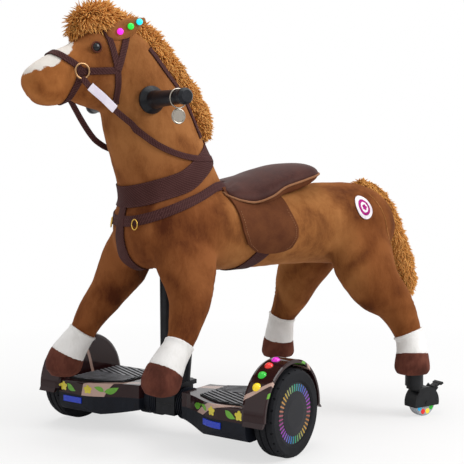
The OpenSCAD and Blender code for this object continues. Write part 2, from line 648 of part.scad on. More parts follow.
module breast_strap() color(wine) sewn() difference() {
    union() {
        intersection() {
            on_torso(strap_t);
            across(up([[-160, -60], [-128, -60], [-67, -41], [1, -15], [52, 6], [84, 12], [84, -8], [56, -10], [1, -31],
                [-67, -56], [-126, -78], [-160, -78]]));
        }
        intersection() {
            on_torso(strap_t);
            translate([-200, -14, crown_z + 16]) cube([150, 28, back_z - 60 - crown_z]);
        }
    }
    across(up([[-200, 0], [-120, 1.5], [-120, -43.5], [-200, -44.5]]));
    across(flap_outline);
    neck_form(seam + strap_t);
}
module bridle() color(wine) sewn() difference() {
    intersection() {
        on_head(strap_t);
        union() {
            stripe([-264, back_z + 262], [-226, back_z + 216], bridle_w);
            stripe([-226, back_z + 216], [-240, back_z + 150], bridle_w);
            stripe([-226, back_z + 216], [-156, back_z + 220], bridle_w);
            stripe([-156, back_z + 220], [-150, back_z + 148], bridle_w);
            stripe([-156, back_z + 220], [-168, back_z + 312], bridle_w);
            stripe([-156, back_z + 220], [-124, back_z + 310], bridle_w);
        }
    }
    mane_form(seam);
    ear_form(seam);
    ring_pair(seam);
}
module ring_pair(grow = 0) for (s = [-1, 1]) translate([-226, s * 52, back_z + 216]) rotate([90, 0, 0])
    rotate_extrude($fn = 32) translate([bit_r, 0]) circle(d = bit_t + 2 * grow, $fn = 12);
module tack_rings() color("#c9cdd2") ring_pair();
module reins() color(wine) sewn() {
    difference() {
        union() {
            intersection() {
                on_neck(strap_t);
                across(up([[-150, 115], [-96, 80], [-50, 64], [-4, 52], [30, 50], [30, 62], [-2, 64], [-45, 77],
                    [-90, 93], [-140, 126]]));
            }
            loose_rein([[-231, -50, 206], [-205, -56, 181], [-171, -57, 148], [-140, -46, 119]]);
            loose_rein([[-231, 50, 206], [-208, 49, 172], [-188, 48, 141], [-167, 46, 115], [-138, 42, 95]]);
        }
        neck_form(seam);
        head_form(2 * seam + strap_t);
        breast_room();
        ring_pair(seam);
    }
}
module loose_rein(points) for (i = [0 : len(points) - 2]) hull() for (p = [points[i], points[i + 1]])
    translate([p[0], p[1], back_z + p[2]]) rotate([0, 45, 0]) cube([strap_t, strap_t, rein_w], center = true);
module breast_room() across(up([[-30, 30], [14, 58.5], [56, 88.5], [110, 100], [110, 0], [-30, -20]]));

// Casters
module caster_sockets() color(black) for (s = [-1, 1]) at_caster(s) difference() {
    translate([0, 0, socket_z + 0.5]) cylinder(r = 20, h = hind_hoof_z - 0.8 - socket_z);
    translate([0, 0, socket_z - 1]) cylinder(r = stem_d / 2 + run_fit, h = hind_hoof_z - 8 - socket_z);
}
module on_roller() translate([caster_trail, 0, caster_r]) rotate([-90, 0, 0]) children();
module caster_fork() color(black) {
    cylinder_z = caster_r + hood_r + 2;
    cheek = caster_w / 2 + 1.5;
    translate([0, 0, cylinder_z - 2]) cylinder(d = stem_d, h = hind_hoof_z - 12 - cylinder_z);
    translate([0, 0, cylinder_z - 2]) cylinder(r = 17, h = socket_z - cylinder_z + 2);
    difference() {
        union() {
            on_roller() translate([0, 0, -cheek - 4]) cylinder(r = hood_r + 3, h = 2 * cheek + 8);
            translate([0, -cheek - 4, caster_r]) cube([caster_trail, 2 * cheek + 8, hood_r + 1]);
        }
        on_roller() translate([0, 0, -cheek]) cylinder(r = hood_r, h = 2 * cheek);
        translate([-60, -40, -20]) cube([140, 80, caster_r + 12]);
    }
    on_roller() translate([0, 0, -cheek - 5]) cylinder(r = 5 - run_fit, h = 2 * cheek + 10);
    for (s = [-1, 1]) on_roller() difference() {
        rotate([0, 0, -atan2(brake_z, brake_x)]) translate([hood_r + 1, -5, s * 11.5 - 1.5])
            cube([norm([brake_x, brake_z]) + 4 - hood_r, 10, 3]);
        translate([brake_x, -brake_z, s * 11.5 - 3]) cylinder(r = 2 + run_fit, h = 6);
    }
}
brake_x = 31;
brake_z = 29;
module caster_wheel() color("#dfe6ea") on_roller() difference() {
    rotate_extrude($fn = 64) polygon([[0, -caster_w / 2], [caster_r - 4, -caster_w / 2], [caster_r - 1, -caster_w / 2 + 2],
        [caster_r, -caster_w / 2 + 6], [caster_r, caster_w / 2 - 6], [caster_r - 1, caster_w / 2 - 2], [caster_r - 4, caster_w / 2],
        [0, caster_w / 2]]);
    translate([0, 0, -caster_w]) cylinder(r = 5, h = 2 * caster_w);
}
module caster_brake() color(black) on_roller() translate([brake_x, -brake_z, 0]) {
    translate([0, 0, -14]) cylinder(r = 2, h = 28);
    translate([0, 0, -9.7]) cylinder(r = 4, h = 19.4);
    rotate([0, 0, -22]) translate([1, -1.7, -9.4]) cube([22, 3.4, 18.8]);
    rotate([0, 0, -22]) translate([16, -2.2, -13]) cube([8, 4.4, 26]);
}

translate([-post_fwd, 0, 0]) {
    steered() left() upper_shell();  // left_upper_shell
    steered() left() lower_shell();  // left_lower_shell
    steered() left() foot_pad();  // left_foot_pad
    steered() left() lamps(left_lens_gap);  // left_lamps
    steered() left() axle();  // left_axle
    steered() left() tyre();  // left_tyre
    steered() left() hub();  // left_hub
    steered() left() light_ring();  // left_light_ring
    steered() upper_shell();  // right_upper_shell
    steered() lower_shell(true);  // right_lower_shell
    steered() foot_pad();  // right_foot_pad
    steered() lamps(right_lens_gap);  // right_lamps
    steered() axle();  // right_axle
    steered() tyre();  // right_tyre
    steered() hub();  // right_hub
    steered() light_ring();  // right_light_ring
    steered() pivot_tube();
    steered() left() battery_pack();
    steered() control_board();
    steered() power_button();
    steered() front_fork();
    steered() clamp_cap();
    steered() clamp_bolts();
    steel_frame();
    steering_bushes();
    handlebar();
    left() grip();  // left_grip
    grip();  // right_grip
    torso();
    neck();
    head();
    ears();
    ear_lamps();
    eyes();
    mane();
    tail();
    leg(true, -1);  // front_left_leg
    leg(true, 1);  // front_right_leg
    leg(false, -1);  // hind_left_leg
    leg(false, 1);  // hind_right_leg
    for (s = [-1, 1]) sock(true, s);  // front_socks
    for (s = [-1, 1]) sock(false, s);  // hind_socks
    for (s = [-1, 1]) hoof(true, s);  // front_hooves
    for (s = [-1, 1]) hoof(false, s);  // hind_hooves
    bridle();
    tack_rings();
    reins();
    breast_collar();
    breast_strap();
    girth();
    saddle_seat();
    saddle_flaps();
    key_ring();
    caster_sockets();
    at_caster(-1) caster_fork();  // left_caster_fork
    at_caster(-1) caster_wheel();  // left_caster_wheel
    at_caster(-1) caster_brake();  // left_caster_brake
    at_caster(1) caster_fork();  // right_caster_fork
    at_caster(1) caster_wheel();  // right_caster_wheel
    at_caster(1) caster_brake();  // right_caster_brake
}
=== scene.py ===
"""Looks of the ride-on plush horse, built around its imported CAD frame.

A sewn plush coat covers a steel frame. A self-balancing board carries and steers the front, and two casters
carry the hind hooves. The tables are in millimetres from the steering axis, as in the part's source; meshes
are in metres in the row frame.
"""

import logging
import math
import random
from dataclasses import dataclass
from enum import Enum
from typing import Any, Callable, Iterable, Sequence

import bmesh
import bpy
from mathutils import Matrix, Vector, noise
from mathutils.bvhtree import BVHTree


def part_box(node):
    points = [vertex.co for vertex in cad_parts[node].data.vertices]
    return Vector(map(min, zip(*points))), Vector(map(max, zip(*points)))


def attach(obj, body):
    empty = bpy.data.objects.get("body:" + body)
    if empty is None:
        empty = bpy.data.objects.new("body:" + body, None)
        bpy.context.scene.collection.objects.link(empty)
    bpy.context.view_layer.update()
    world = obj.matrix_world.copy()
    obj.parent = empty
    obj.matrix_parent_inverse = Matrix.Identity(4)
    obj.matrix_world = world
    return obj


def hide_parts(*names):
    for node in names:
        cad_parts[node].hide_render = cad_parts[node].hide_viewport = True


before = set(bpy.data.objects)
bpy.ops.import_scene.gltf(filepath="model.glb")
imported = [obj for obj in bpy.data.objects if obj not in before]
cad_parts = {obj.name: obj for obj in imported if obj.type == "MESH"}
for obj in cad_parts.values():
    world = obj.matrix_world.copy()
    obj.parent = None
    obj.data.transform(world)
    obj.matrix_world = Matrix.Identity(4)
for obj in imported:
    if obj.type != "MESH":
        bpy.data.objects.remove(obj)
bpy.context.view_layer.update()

LOG = logging.getLogger("plush_horse")
MM = 0.001
POST = 167.8
BACK = 516.0
AXLE_Z = 85.0
WHEEL_Y = 290.0
STEER = math.radians(21.5)
IMAGE_SIDE = 464
SWELL_FRAMES = 20
SIDES = (-1.0, 1.0)
Y_AXIS = Vector((0.0, 1.0, 0.0))
Z_AXIS = Vector((0.0, 0.0, 1.0))
Row = tuple[float, ...]
Rows = tuple[Row, ...]
Mesh = bmesh.types.BMesh
Tree = bpy.types.NodeTree
Node = bpy.types.Node
Socket = bpy.types.NodeSocket


class Body(str, Enum):
    """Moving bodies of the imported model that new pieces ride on."""

    HORSE = "horse"
    LEFT_BOARD = "left_board"
    RIGHT_BOARD = "right_board"
    LEFT_ROLLER = "left_roller"
    RIGHT_ROLLER = "right_roller"


class Side(float, Enum):
    """Which side of the horse a piece is on, as the sign of Y."""

    LEFT = -1.0
    RIGHT = 1.0


def at(x: float, y: float, z: float) -> Vector:
    """Point of the row frame from millimetres measured from the steering axis and the floor."""
    return Vector(((x - POST) * MM, y * MM, z * MM))


def on_board(x: float, y: float, z: float) -> Vector:
    """Point of the row frame from millimetres along, across and above the turned board."""
    c, s = math.cos(STEER), math.sin(STEER)
    return at(x * c - y * s, x * s + y * c, z)


def linear(code: str) -> Row:
    """Linear RGBA of an sRGB hex colour."""
    parts = [int(code[i : i + 2], 16) / 255.0 for i in (1, 3, 5)]
    return (*(p / 12.92 if p <= 0.04045 else ((p + 0.055) / 1.055) ** 2.4 for p in parts), 1.0)


def per(size_mm: float) -> float:
    """Scale of a noise or cell texture whose features are that many millimetres wide."""
    return 1.0 / (size_mm * MM)


def bands(pitch_mm: float) -> float:
    """Scale of a wave texture whose bands repeat at that many millimetres."""
    return math.pi / 10.0 / (pitch_mm * MM)


def feed(node: Node, inputs: dict[Any, Any]) -> None:
    """Gives a shader node its inputs.

    Args:
        node: Node to set.
        inputs: Values or output sockets, by the name or number of the input they go to.
    """
    for key, value in inputs.items():
        if isinstance(value, Socket):
            node.id_data.links.new(value, node.inputs[key])
        else:
            node.inputs[key].default_value = value


def add(tree: Tree, kind: str, inputs: dict[Any, Any], **settings: Any) -> Node:
    """Adds one shader node.

    Args:
        tree: Node tree of the material.
        kind: Blender's name of the node type, without the ShaderNode that they all start with.
        inputs: Values or output sockets, by the name or number of the input they go to.
        settings: Attributes of the node itself.

    Returns:
        The new node.
    """
    node = tree.nodes.new("ShaderNode" + kind)
    for key, value in settings.items():
        setattr(node, key, value)
    feed(node, inputs)
    return node


def place(tree: Tree) -> Socket:
    """Place on the object, as a texture's vector."""
    return add(tree, "TexCoord", {}).outputs["Object"]


def split(tree: Tree, vector: Socket) -> Any:
    """Outputs X, Y and Z of a vector."""
    return add(tree, "SeparateXYZ", {"Vector": vector}).outputs


def stretch(tree: Tree, vector: Socket, upright: float) -> Socket:
    """Vector whose upright part is scaled, to draw a texture out that way."""
    return add(tree, "Mapping", {"Vector": vector, "Scale": (1.0, 1.0, upright)}).outputs["Vector"]


def speckle(tree: Tree, vector: Socket, size_mm: float, detail: float, **more: float) -> Socket:
    """Noise with features of a given width."""
    inputs = {"Vector": vector, "Scale": per(size_mm), "Detail": detail, **more}
    return add(tree, "TexNoise", inputs).outputs["Fac"]


def cells(tree: Tree, size_mm: float, feature: str = "F1", randomness: float = 1.0) -> Socket:
    """Distance from the middles of cells of a given width."""
    inputs = {"Vector": place(tree), "Scale": per(size_mm), "Randomness": randomness}
    return add(tree, "TexVoronoi", inputs, feature=feature).outputs["Distance"]


def stripes(tree: Tree, vector: Socket, pitch_mm: float, way: str = "X", **more: float) -> Socket:
    """Wave that repeats at a given pitch."""
    inputs = {"Vector": vector, "Scale": bands(pitch_mm), **more}
    return add(tree, "TexWave", inputs, bands_direction=way).outputs["Fac"]


def calc(tree: Tree, operation: str, *values: Any) -> Socket:
    """Result of a sum on numbers or sockets."""
    return add(tree, "Math", dict(enumerate(values)), operation=operation).outputs[0]


def span(tree: Tree, value: Socket, low: float, high: float, to_low: float = 0.0,
         to_high: float | Socket = 1.0) -> Socket:
    """Value carried from one range to another."""
    ends = {"From Min": low, "From Max": high, "To Min": to_low, "To Max": to_high}
    return add(tree, "MapRange", {"Value": value, **ends}).outputs[0]


def fade(tree: Tree, share: float, first: Socket, second: Socket) -> Socket:
    """Two values mixed by a share."""
    return add(tree, "Mix", {0: share, 2: first, 3: second}, data_type="FLOAT").outputs[0]


def tint(tree: Tree, share: Any, first: Any, second: Any, kind: str = "MIX") -> Socket:
    """Two colours mixed by a share."""
    return add(tree, "Mix", {0: share, 6: first, 7: second}, data_type="RGBA", blend_type=kind).outputs[2]


def about_axle(tree: Tree, y_mm: float) -> Any:
    """Outputs X, Y and Z of the place on the board, measured from a point on its axle."""
    move = {"Vector": place(tree), "Location": on_board(0.0, y_mm, AXLE_Z), "Rotation": (0.0, 0.0, STEER)}
    return split(tree, add(tree, "Mapping", move, vector_type="TEXTURE").outputs["Vector"])


def bump(shader: Node, height: Socket, strength: float, depth_mm: float) -> None:
    """Links a height to the shader's normal."""
    inputs = {"Height": height, "Strength": strength, "Distance": depth_mm * MM}
    feed(shader, {"Normal": add(shader.id_data, "Bump", inputs).outputs["Normal"]})


def ramp(tree: Tree, factor: Socket, stops: Sequence[tuple[float, str]], hard: bool = False) -> Socket:
    """Colour output of a ramp.

    Args:
        tree: Node tree of the material.
        factor: Socket that drives the ramp.
        stops: Positions and sRGB hex colours, in rising order.
        hard: Whether the colours change in steps.

    Returns:
        The ramp's colour socket.
    """
    node = add(tree, "ValToRGB", {"Fac": factor})
    node.color_ramp.interpolation = "CONSTANT" if hard else "LINEAR"
    while len(node.color_ramp.elements) < len(stops):
        node.color_ramp.elements.new(0.5)
    for element, (spot, code) in zip(node.color_ramp.elements, stops):
        element.position = spot
        element.color = linear(code)
    return node.outputs["Color"]


@dataclass(frozen=True)
class Finish:
    """Base of all finishes: a named material that is made once."""

    name: str

    def material(self) -> bpy.types.Material:
        """Makes the material at its first use.

        Returns:
            The material of this finish.
        """
        found = bpy.data.materials.get(self.name)
        if found is not None:
            return found
        made = bpy.data.materials.new(self.name)
        made.use_nodes = True
        tree = made.node_tree
        tree.nodes.clear()
        shader = add(tree, "BsdfPrincipled", {})
        add(tree, "OutputMaterial", {"Surface": shader.outputs["BSDF"]})
        self.shade(tree, shader)
        return made

    def shade(self, tree: Tree, shader: Node) -> None:
        """Adds the nodes of this finish and links them to its shader."""


@dataclass(frozen=True)
class Plush(Finish):
    """Short-pile velboa, knitted and brushed: the nap lies in patches that turn light or dark."""

    light: str
    middle: str
    dark: str
    coat: bool = False
    nap_mm: float = 95.0
    pile_mm: float = 2.6

    def shade(self, tree: Tree, shader: Node) -> None:
        """Nap patches, and fine pile drawn coarser than its 0.5 mm. The coat also has painted shade and a
        blaze.

        Args:
            tree: Node tree of the material.
            shader: Its shader.
        """
        spot = place(tree)
        strokes = stretch(tree, spot, 0.45)
        nap = speckle(tree, spot, self.nap_mm, 1.5, Distortion=0.7)
        brush = speckle(tree, strokes, self.nap_mm / 7.0, 3.0, Distortion=0.6)
        pile = speckle(tree, strokes, self.pile_mm, 3.0, Roughness=0.7)
        tone = fade(tree, 0.34, nap, fade(tree, 0.4, brush, pile))
        colour = ramp(tree, tone, [(0.33, self.dark), (0.47, self.middle), (0.6, self.light)])
        if self.coat:
            colour = self.with_blaze(tree, spot, self.with_painted_shade(tree, spot, colour))
        feed(shader, {"Base Color": colour, "Roughness": 0.92, "Specular IOR Level": 0.12,
                      "Sheen Weight": 0.28, "Sheen Roughness": 0.45, "Sheen Tint": linear(self.light)})
        bump(shader, pile, 0.4, 0.8)

    def with_painted_shade(self, tree: Tree, spot: Socket, colour: Socket) -> Socket:
        """Darkens the coat with painted shade, panel by panel towards the head and the rump, and low on the
        chest and front legs.

        Args:
            tree: Node tree of the material.
            spot: Place on the coat.
            colour: Colour of the coat.

        Returns:
            The colour with its painted shade.
        """
        part = split(tree, spot)
        along = span(tree, part["X"], at(-300.0, 0, 0).x, at(520.0, 0, 0).x)
        # Painted shade along the body: darkest at the head and the rump, none on the barrel.
        panels = ramp(tree, along, [(0.0, "#FAEADC"), (0.07, "#FAEADC"), (0.15, "#D7C8C4"),
                                    (0.201, "#EFE9E8"), (0.372, "#EFE9E8"), (0.457, "#FFFFFF"),
                                    (0.768, "#FFFFFF"), (0.87, "#C6B2A7"), (1.0, "#C6B2A7")])
        shaded_colour = tint(tree, 1.0, colour, panels, "MULTIPLY")
        # Painted shade low on the chest and the front legs.
        low = span(tree, part["Z"], 0.6, 0.5)
        chest = span(tree, part["X"], at(110.0, 0, 0).x, at(30.0, 0, 0).x)
        return tint(tree, calc(tree, "MULTIPLY", low, chest), shaded_colour, linear("#DECFCC"), "MULTIPLY")

    def with_blaze(self, tree: Tree, spot: Socket, colour: Socket) -> Socket:
        """White fur on the top of the nose, with a wavering edge.

        Args:
            tree: Node tree of the material.
            spot: Place on the coat.
            colour: Colour of the coat.

        Returns:
            The colour with the blaze.
        """
        wander = speckle(tree, spot, 16.0, 3.0)
        nose = {"Vector": spot, "Location": at(-273.0, 0.0, BACK + 240.0), "Scale": (0.063, 0.04, 0.031),
                "Rotation": (0.0, math.radians(-31.0), 0.0)}
        inside = add(tree, "Mapping", nose, vector_type="TEXTURE").outputs["Vector"]
        ball = add(tree, "TexGradient", {"Vector": inside}, gradient_type="SPHERICAL").outputs["Fac"]
        edge = calc(tree, "MULTIPLY_ADD", wander, 0.5, ball)
        white = span(tree, edge, 0.3, 0.36, 0.0, calc(tree, "GREATER_THAN", ball, 0.01))
        return tint(tree, white, colour, linear("#E6E0D8"))


@dataclass(frozen=True)
class LongFur(Finish):
    """Sherpa-like acrylic fur in tufts, each tuft with its own tone, and painted shade darkening each tuft
    towards its base.
    """

    shaded_root: str
    middle: str
    tip: str

    def shade(self, tree: Tree, shader: Node) -> None:
        """Tone from painted shade at the base of each tuft to its tip, varied from tuft to tuft.

        Args:
            tree: Node tree of the material.
            shader: Its shader.
        """
        spot = place(tree)
        # A low tone at the base of each tuft is painted shade.
        tone = add(tree, "Attribute", {}, attribute_name="tone").outputs["Fac"]
        mixed = fade(tree, 0.3, tone, speckle(tree, spot, 26.0, 3.0))
        colour = ramp(tree, mixed, [(0.12, self.shaded_root), (0.45, self.middle), (0.82, self.tip)])
        feed(shader, {"Base Color": colour, "Roughness": 0.85, "Specular IOR Level": 0.15,
                      "Sheen Weight": 0.3, "Sheen Tint": linear(self.tip)})
        bump(shader, speckle(tree, spot, 1.6, 2.0), 0.4, 0.6)


@dataclass(frozen=True)
class Webbing(Finish):
    """Woven polypropylene strap: ribs across it, finer twill along it, and a stitched line near each edge."""

    colour: str
    worn: str
    half_width_mm: float
    rib_mm: float = 2.4
    hem_mm: float = 2.4

    def shade(self, tree: Tree, shader: Node) -> None:
        """Weave on the strap's own map, in metres. Ribs of 1 mm are drawn at 2.4 mm, so that they show.

        Args:
            tree: Node tree of the material.
            shader: Its shader.
        """
        flat = add(tree, "UVMap", {}, uv_map="run").outputs["UV"]
        rib = stripes(tree, flat, self.rib_mm, Distortion=0.6)
        cloth = calc(tree, "MULTIPLY", rib, stripes(tree, flat, self.rib_mm * 1.3, "DIAGONAL"))
        across = calc(tree, "ABSOLUTE", split(tree, flat)["Y"])
        line = calc(tree, "COMPARE", across, (self.half_width_mm - self.hem_mm) * MM, 0.0006)
        thread = calc(tree, "MULTIPLY", line, stripes(tree, flat, 4.5))
        tone = calc(tree, "MULTIPLY_ADD", speckle(tree, place(tree), 30.0, 4.0), 0.6, cloth)
        colour = ramp(tree, tone, [(0.3, self.colour), (1.2, self.worn)])
        feed(shader, {"Base Color": tint(tree, thread, colour, linear(self.worn)), "Roughness": 0.75,
                      "Specular IOR Level": 0.12})
        bump(shader, calc(tree, "MULTIPLY_ADD", thread, 1.5, cloth), 0.5, 0.5)


@dataclass(frozen=True)
class Hide(Finish):
    """Leather-look vinyl: pebbled grain, duller and lighter where it is rubbed."""

    colour: str
    wear_and_highlight: str
    rough: float
    grain_mm: float
    nap: float = 0.0

    def shade(self, tree: Tree, shader: Node) -> None:
        """Grain cells, slow colour drift and, on suede, a nap. Grain is drawn at about twice its real size.

        Args:
            tree: Node tree of the material.
            shader: Its shader.
        """
        cell = cells(tree, self.grain_mm, "SMOOTH_F1", 0.9)
        drift = speckle(tree, place(tree), 38.0, 5.0, Roughness=0.65)
        mixed = calc(tree, "MULTIPLY_ADD", cell, 0.22, drift)
        feed(shader, {"Base Color": ramp(tree, mixed, [(0.38, self.colour), (0.82, self.wear_and_highlight)]),
                      "Roughness": span(tree, drift, 0.0, 1.0, self.rough - 0.07, self.rough + 0.07),
                      "Specular IOR Level": 0.08, "Sheen Weight": self.nap,
                      "Sheen Tint": linear(self.wear_and_highlight)})
        bump(shader, cell, 0.35, 0.5)


@dataclass(frozen=True)
class Moulded(Finish):
    """Injection-moulded or painted surface: spark-eroded grain when matt, slight orange peel when glossy."""

    colour: str
    scuffed: str
    rough: float
    grain_mm: float = 1.4
    depth_mm: float = 0.12
    coat: float = 0.0
    gleam: float = 0.2

    def shade(self, tree: Tree, shader: Node) -> None:
        """Grain, handling marks in the gloss, and colour that drifts a little.

        Args:
            tree: Node tree of the material.
            shader: Its shader.
        """
        spot = place(tree)
        marks = speckle(tree, spot, 34.0, 6.0, Roughness=0.7)
        shine = span(tree, marks, 0.3, 0.7, max(self.rough - 0.05, 0.03), self.rough + 0.08)
        feed(shader, {"Base Color": ramp(tree, marks, [(0.4, self.colour), (0.78, self.scuffed)]),
                      "Roughness": shine, "IOR": 1.5, "Specular IOR Level": self.gleam,
                      "Coat Weight": self.coat, "Coat Roughness": 0.06})
        bump(shader, speckle(tree, spot, self.grain_mm, 2.0), 0.3, self.depth_mm)


@dataclass(frozen=True)
class Metal(Finish):
    """Plated or drawn metal with fine turning lines in its gloss."""

    colour: str
    rough: float

    def shade(self, tree: Tree, shader: Node) -> None:
        """Metal with streaks drawn along one direction.

        Args:
            tree: Node tree of the material.
            shader: Its shader.
        """
        lines = speckle(tree, stretch(tree, place(tree), 0.06), 0.9, 3.0)
        shine = span(tree, lines, 0.0, 1.0, max(self.rough - 0.08, 0.03), self.rough + 0.08)
        feed(shader, {"Base Color": linear(self.colour), "Metallic": 1.0, "Roughness": shine})
        bump(shader, lines, 0.12, 0.05)


@dataclass(frozen=True)
class Lamp(Finish):
    """Frosted polycarbonate over an LED: the colour glows through, with a moulded prism grain."""

    colour: str
    glow: float
    frost: float = 0.25

    def shade(self, tree: Tree, shader: Node) -> None:
        """Glowing lens.

        Args:
            tree: Node tree of the material.
            shader: Its shader.
        """
        light = linear(self.colour)
        feed(shader, {"Base Color": light, "Emission Color": light, "Emission Strength": self.glow,
                      "Roughness": self.frost})
        bump(shader, cells(tree, 2.2), 0.2, 0.3)


@dataclass(frozen=True)
class LampBank(Finish):
    """A half board's lamps: a blue headlamp low down, then yellow, green, red and magenta up the mudguard."""

    def shade(self, tree: Tree, shader: Node) -> None:
        """The angle up from the front, about the axle, picks the colour.

        Args:
            tree: Node tree of the material.
            shader: Its shader.
        """
        part = about_axle(tree, 0.0)
        angle = calc(tree, "ARCTAN2", part["Z"], calc(tree, "MULTIPLY", part["X"], -1.0))
        rise = span(tree, angle, 0.0, math.pi / 2.0)
        colour = ramp(tree, rise, [(0.0, "#0D2C9C"), (0.22, "#E8C81E"), (0.494, "#1FB32E"),
                                   (0.661, "#E0281E"), (0.822, "#D21FC0")], hard=True)
        feed(shader, {"Base Color": colour, "Emission Color": colour, "Emission Strength": 0.36,
                      "Roughness": 0.18})
        bump(shader, cells(tree, 3.2), 0.25, 0.4)


@dataclass(frozen=True)
class SwirlShell(Finish):
    """Glossy ABS with a printed film: dark brown with pale rose swirls, thickest at the board's middle."""

    ground: str
    swirl: str

    def shade(self, tree: Tree, shader: Node) -> None:
        """Bent bands as the film's print, under a clear coat.

        Args:
            tree: Node tree of the material.
            shader: Its shader.
        """
        spot = place(tree)
        bent = stripes(tree, spot, 95.0, "DIAGONAL", Distortion=5.0, Detail=2.0, **{"Detail Scale": 0.9})
        middle = {0: spot, 1: on_board(0.0, 0.0, 90.0)}
        away = add(tree, "VectorMath", middle, operation="DISTANCE").outputs["Value"]
        mask = calc(tree, "GREATER_THAN", bent, span(tree, away, 0.09, 0.24, 0.945, 0.988))
        shine = span(tree, speckle(tree, spot, 40.0, 5.0), 0.0, 1.0, 0.05, 0.16)
        feed(shader, {"Base Color": tint(tree, mask, linear(self.ground), linear(self.swirl)),
                      "Roughness": shine, "Specular IOR Level": 0.16, "Coat Weight": 0.2,
                      "Coat Roughness": 0.04})


@dataclass(frozen=True)
class TickRing(Finish):
    """Hub light ring: a dark lens with a glowing tick every few degrees, coloured by its angle."""

    side: float
    ticks: int = 40

    def shade(self, tree: Tree, shader: Node) -> None:
        """Angle about the axle picks the colour, and a wave in that angle draws the ticks.

        Args:
            tree: Node tree of the material.
            shader: Its shader.
        """
        part = about_axle(tree, self.side * WHEEL_Y)
        angle = calc(tree, "ARCTAN2", part["Z"], part["X"])
        turn = span(tree, angle, -math.pi, math.pi)
        colour = ramp(tree, turn, [(0.0, "#8A3A5A"), (0.1, "#8A2FA8"), (0.2, "#1F6AB0"), (0.26, "#1C9462"),
                                   (0.36, "#B08C30"), (0.46, "#94503A"), (0.54, "#8A2FA0"), (0.66, "#2F55B0"),
                                   (0.76, "#1C9472"), (0.87, "#B08C30"), (1.0, "#8A3A5A")])
        wave = calc(tree, "SINE", calc(tree, "MULTIPLY", angle, float(self.ticks)))
        lit = tint(tree, span(tree, wave, 0.1, 0.6), linear("#1C1D21"), colour)
        feed(shader, {"Base Color": lit, "Emission Color": lit, "Emission Strength": 0.22,
                      "Specular IOR Level": 0.2, "Roughness": 0.2})


@dataclass(frozen=True)
class RibbedPad(Finish):
    """Moulded black silicone foot pad, with a painted highlight in grey patches along the tops of its ribs.
    """

    top: float
    groove: str = "#121315"
    wear_and_highlight: str = "#8B8C91"

    def shade(self, tree: Tree, shader: Node) -> None:
        """Height above the grooves picks the colour, as a painted highlight on the rib tops.

        Args:
            tree: Node tree of the material.
            shader: Its shader.
        """
        spot = place(tree)
        rise = span(tree, split(tree, spot)["Z"], self.top - 0.0011, self.top - 0.0002)
        highlight_patches = speckle(tree, spot, 22.0, 4.0)
        # Painted highlight in grey patches along the rib tops.
        colour = ramp(tree, calc(tree, "MULTIPLY", rise, highlight_patches), [(0.05, self.groove), (0.6, self.wear_and_highlight)])
        feed(shader, {"Base Color": colour, "Roughness": 0.38, "Specular IOR Level": 0.2})
        bump(shader, highlight_patches, 0.2, 0.3)


COAT = Plush("velboa_coat_golden_brown", "#AC7443", "#925D32", "#63361C", coat=True)
SEAM = Plush("velboa_seam_tan", "#B07A49", "#9E6A3B", "#83542E", nap_mm=20.0)
SOCK = Plush("velboa_sock_white", "#F8F6F4", "#F0EEEB", "#E2E0DC", nap_mm=50.0)
HOOF = Plush("velboa_hoof_chocolate", "#6D4033", "#5C3329", "#46261E", nap_mm=50.0)
FUR = LongFur("sherpa_fur_golden", "#AA682A", "#D08E45", "#EDB46C")
STRAP = Webbing("woven_strap_maroon_brown", "#371C1B", "#593937", 6.5)
COLLAR = Webbing("woven_collar_maroon_brown", "#391E1C", "#583836", 22.0)
SEAT = Hide("vinyl_leather_dark_brown", "#3A201D", "#50312B", 0.5, 2.4)
SUEDE = Hide("suede_flap_brown", "#583220", "#6E4229", 0.92, 1.6, nap=0.18)
PIPING = Hide("piping_tan", "#83583C", "#9C7050", 0.6, 1.8)
TAG = Moulded("satin_tag_white", "#ECE6EF", "#D8CEE2", 0.6, 0.9, 0.15)
PATCH_RIM = Plush("felt_patch_white", "#F3EFF2", "#E9E2E8", "#D9CFD8", nap_mm=18.0)
PATCH_RING = Plush("felt_patch_magenta", "#B02A84", "#A01F76", "#8C1866", nap_mm=18.0)
GLOSS = SwirlShell("glossy_abs_printed_brown", "#2C1617", "#C4A598")
LAMPS = LampBank("polycarbonate_lamps_by_place")
MATT = Moulded("matt_abs_black", "#16181F", "#20242D", 0.46, gleam=0.14)
TYRE = Moulded("tyre_rubber", "#17181B", "#26272B", 0.7, 1.6, 0.3, gleam=0.15)
HUB = Moulded("painted_hub_charcoal", "#1D1E22", "#2A2B30", 0.42, 1.8, 0.1, gleam=0.16)
FORK = Moulded("powder_coated_steel_black", "#17181B", "#27282C", 0.36, 1.2, 0.15)
GRIP = Moulded("grip_rubber_black", "#121418", "#24262C", 0.32, 1.2, 0.12)
CASTER = Moulded("nylon_caster_black", "#141517", "#232427", 0.38, 1.2, 0.1)
ROLLER = Moulded("translucent_pu_roller", "#A9AEB4", "#C4C8CD", 0.2, 3.0, 0.1)
LEAF = Moulded("print_leaf_green", "#5FA329", "#7CBF3A", 0.14, 7.0, 0.05, coat=0.5)
PETAL = Moulded("print_petal_yellow", "#D8C522", "#E9DC5A", 0.14, 7.0, 0.05, coat=0.5)
BATTERY = Moulded("shrink_wrap_blue", "#2C6FB0", "#3A80C2", 0.3)
CIRCUIT = Moulded("solder_mask_green", "#1C6236", "#2A7A48", 0.35)
EYE = Moulded("safety_eye_black", "#08080A", "#121216", 0.05, 8.0, 0.02, coat=0.4)
CHROME = Metal("antiqued_nickel_plate", "#9C958B", 0.24)
BRASS = Metal("brass_plate", "#C9A24E", 0.26)
BRONZE = Metal("antique_bronze_plate", "#A07C58", 0.3)
ZINC = Metal("zinc_plate", "#AEB2B8", 0.34)


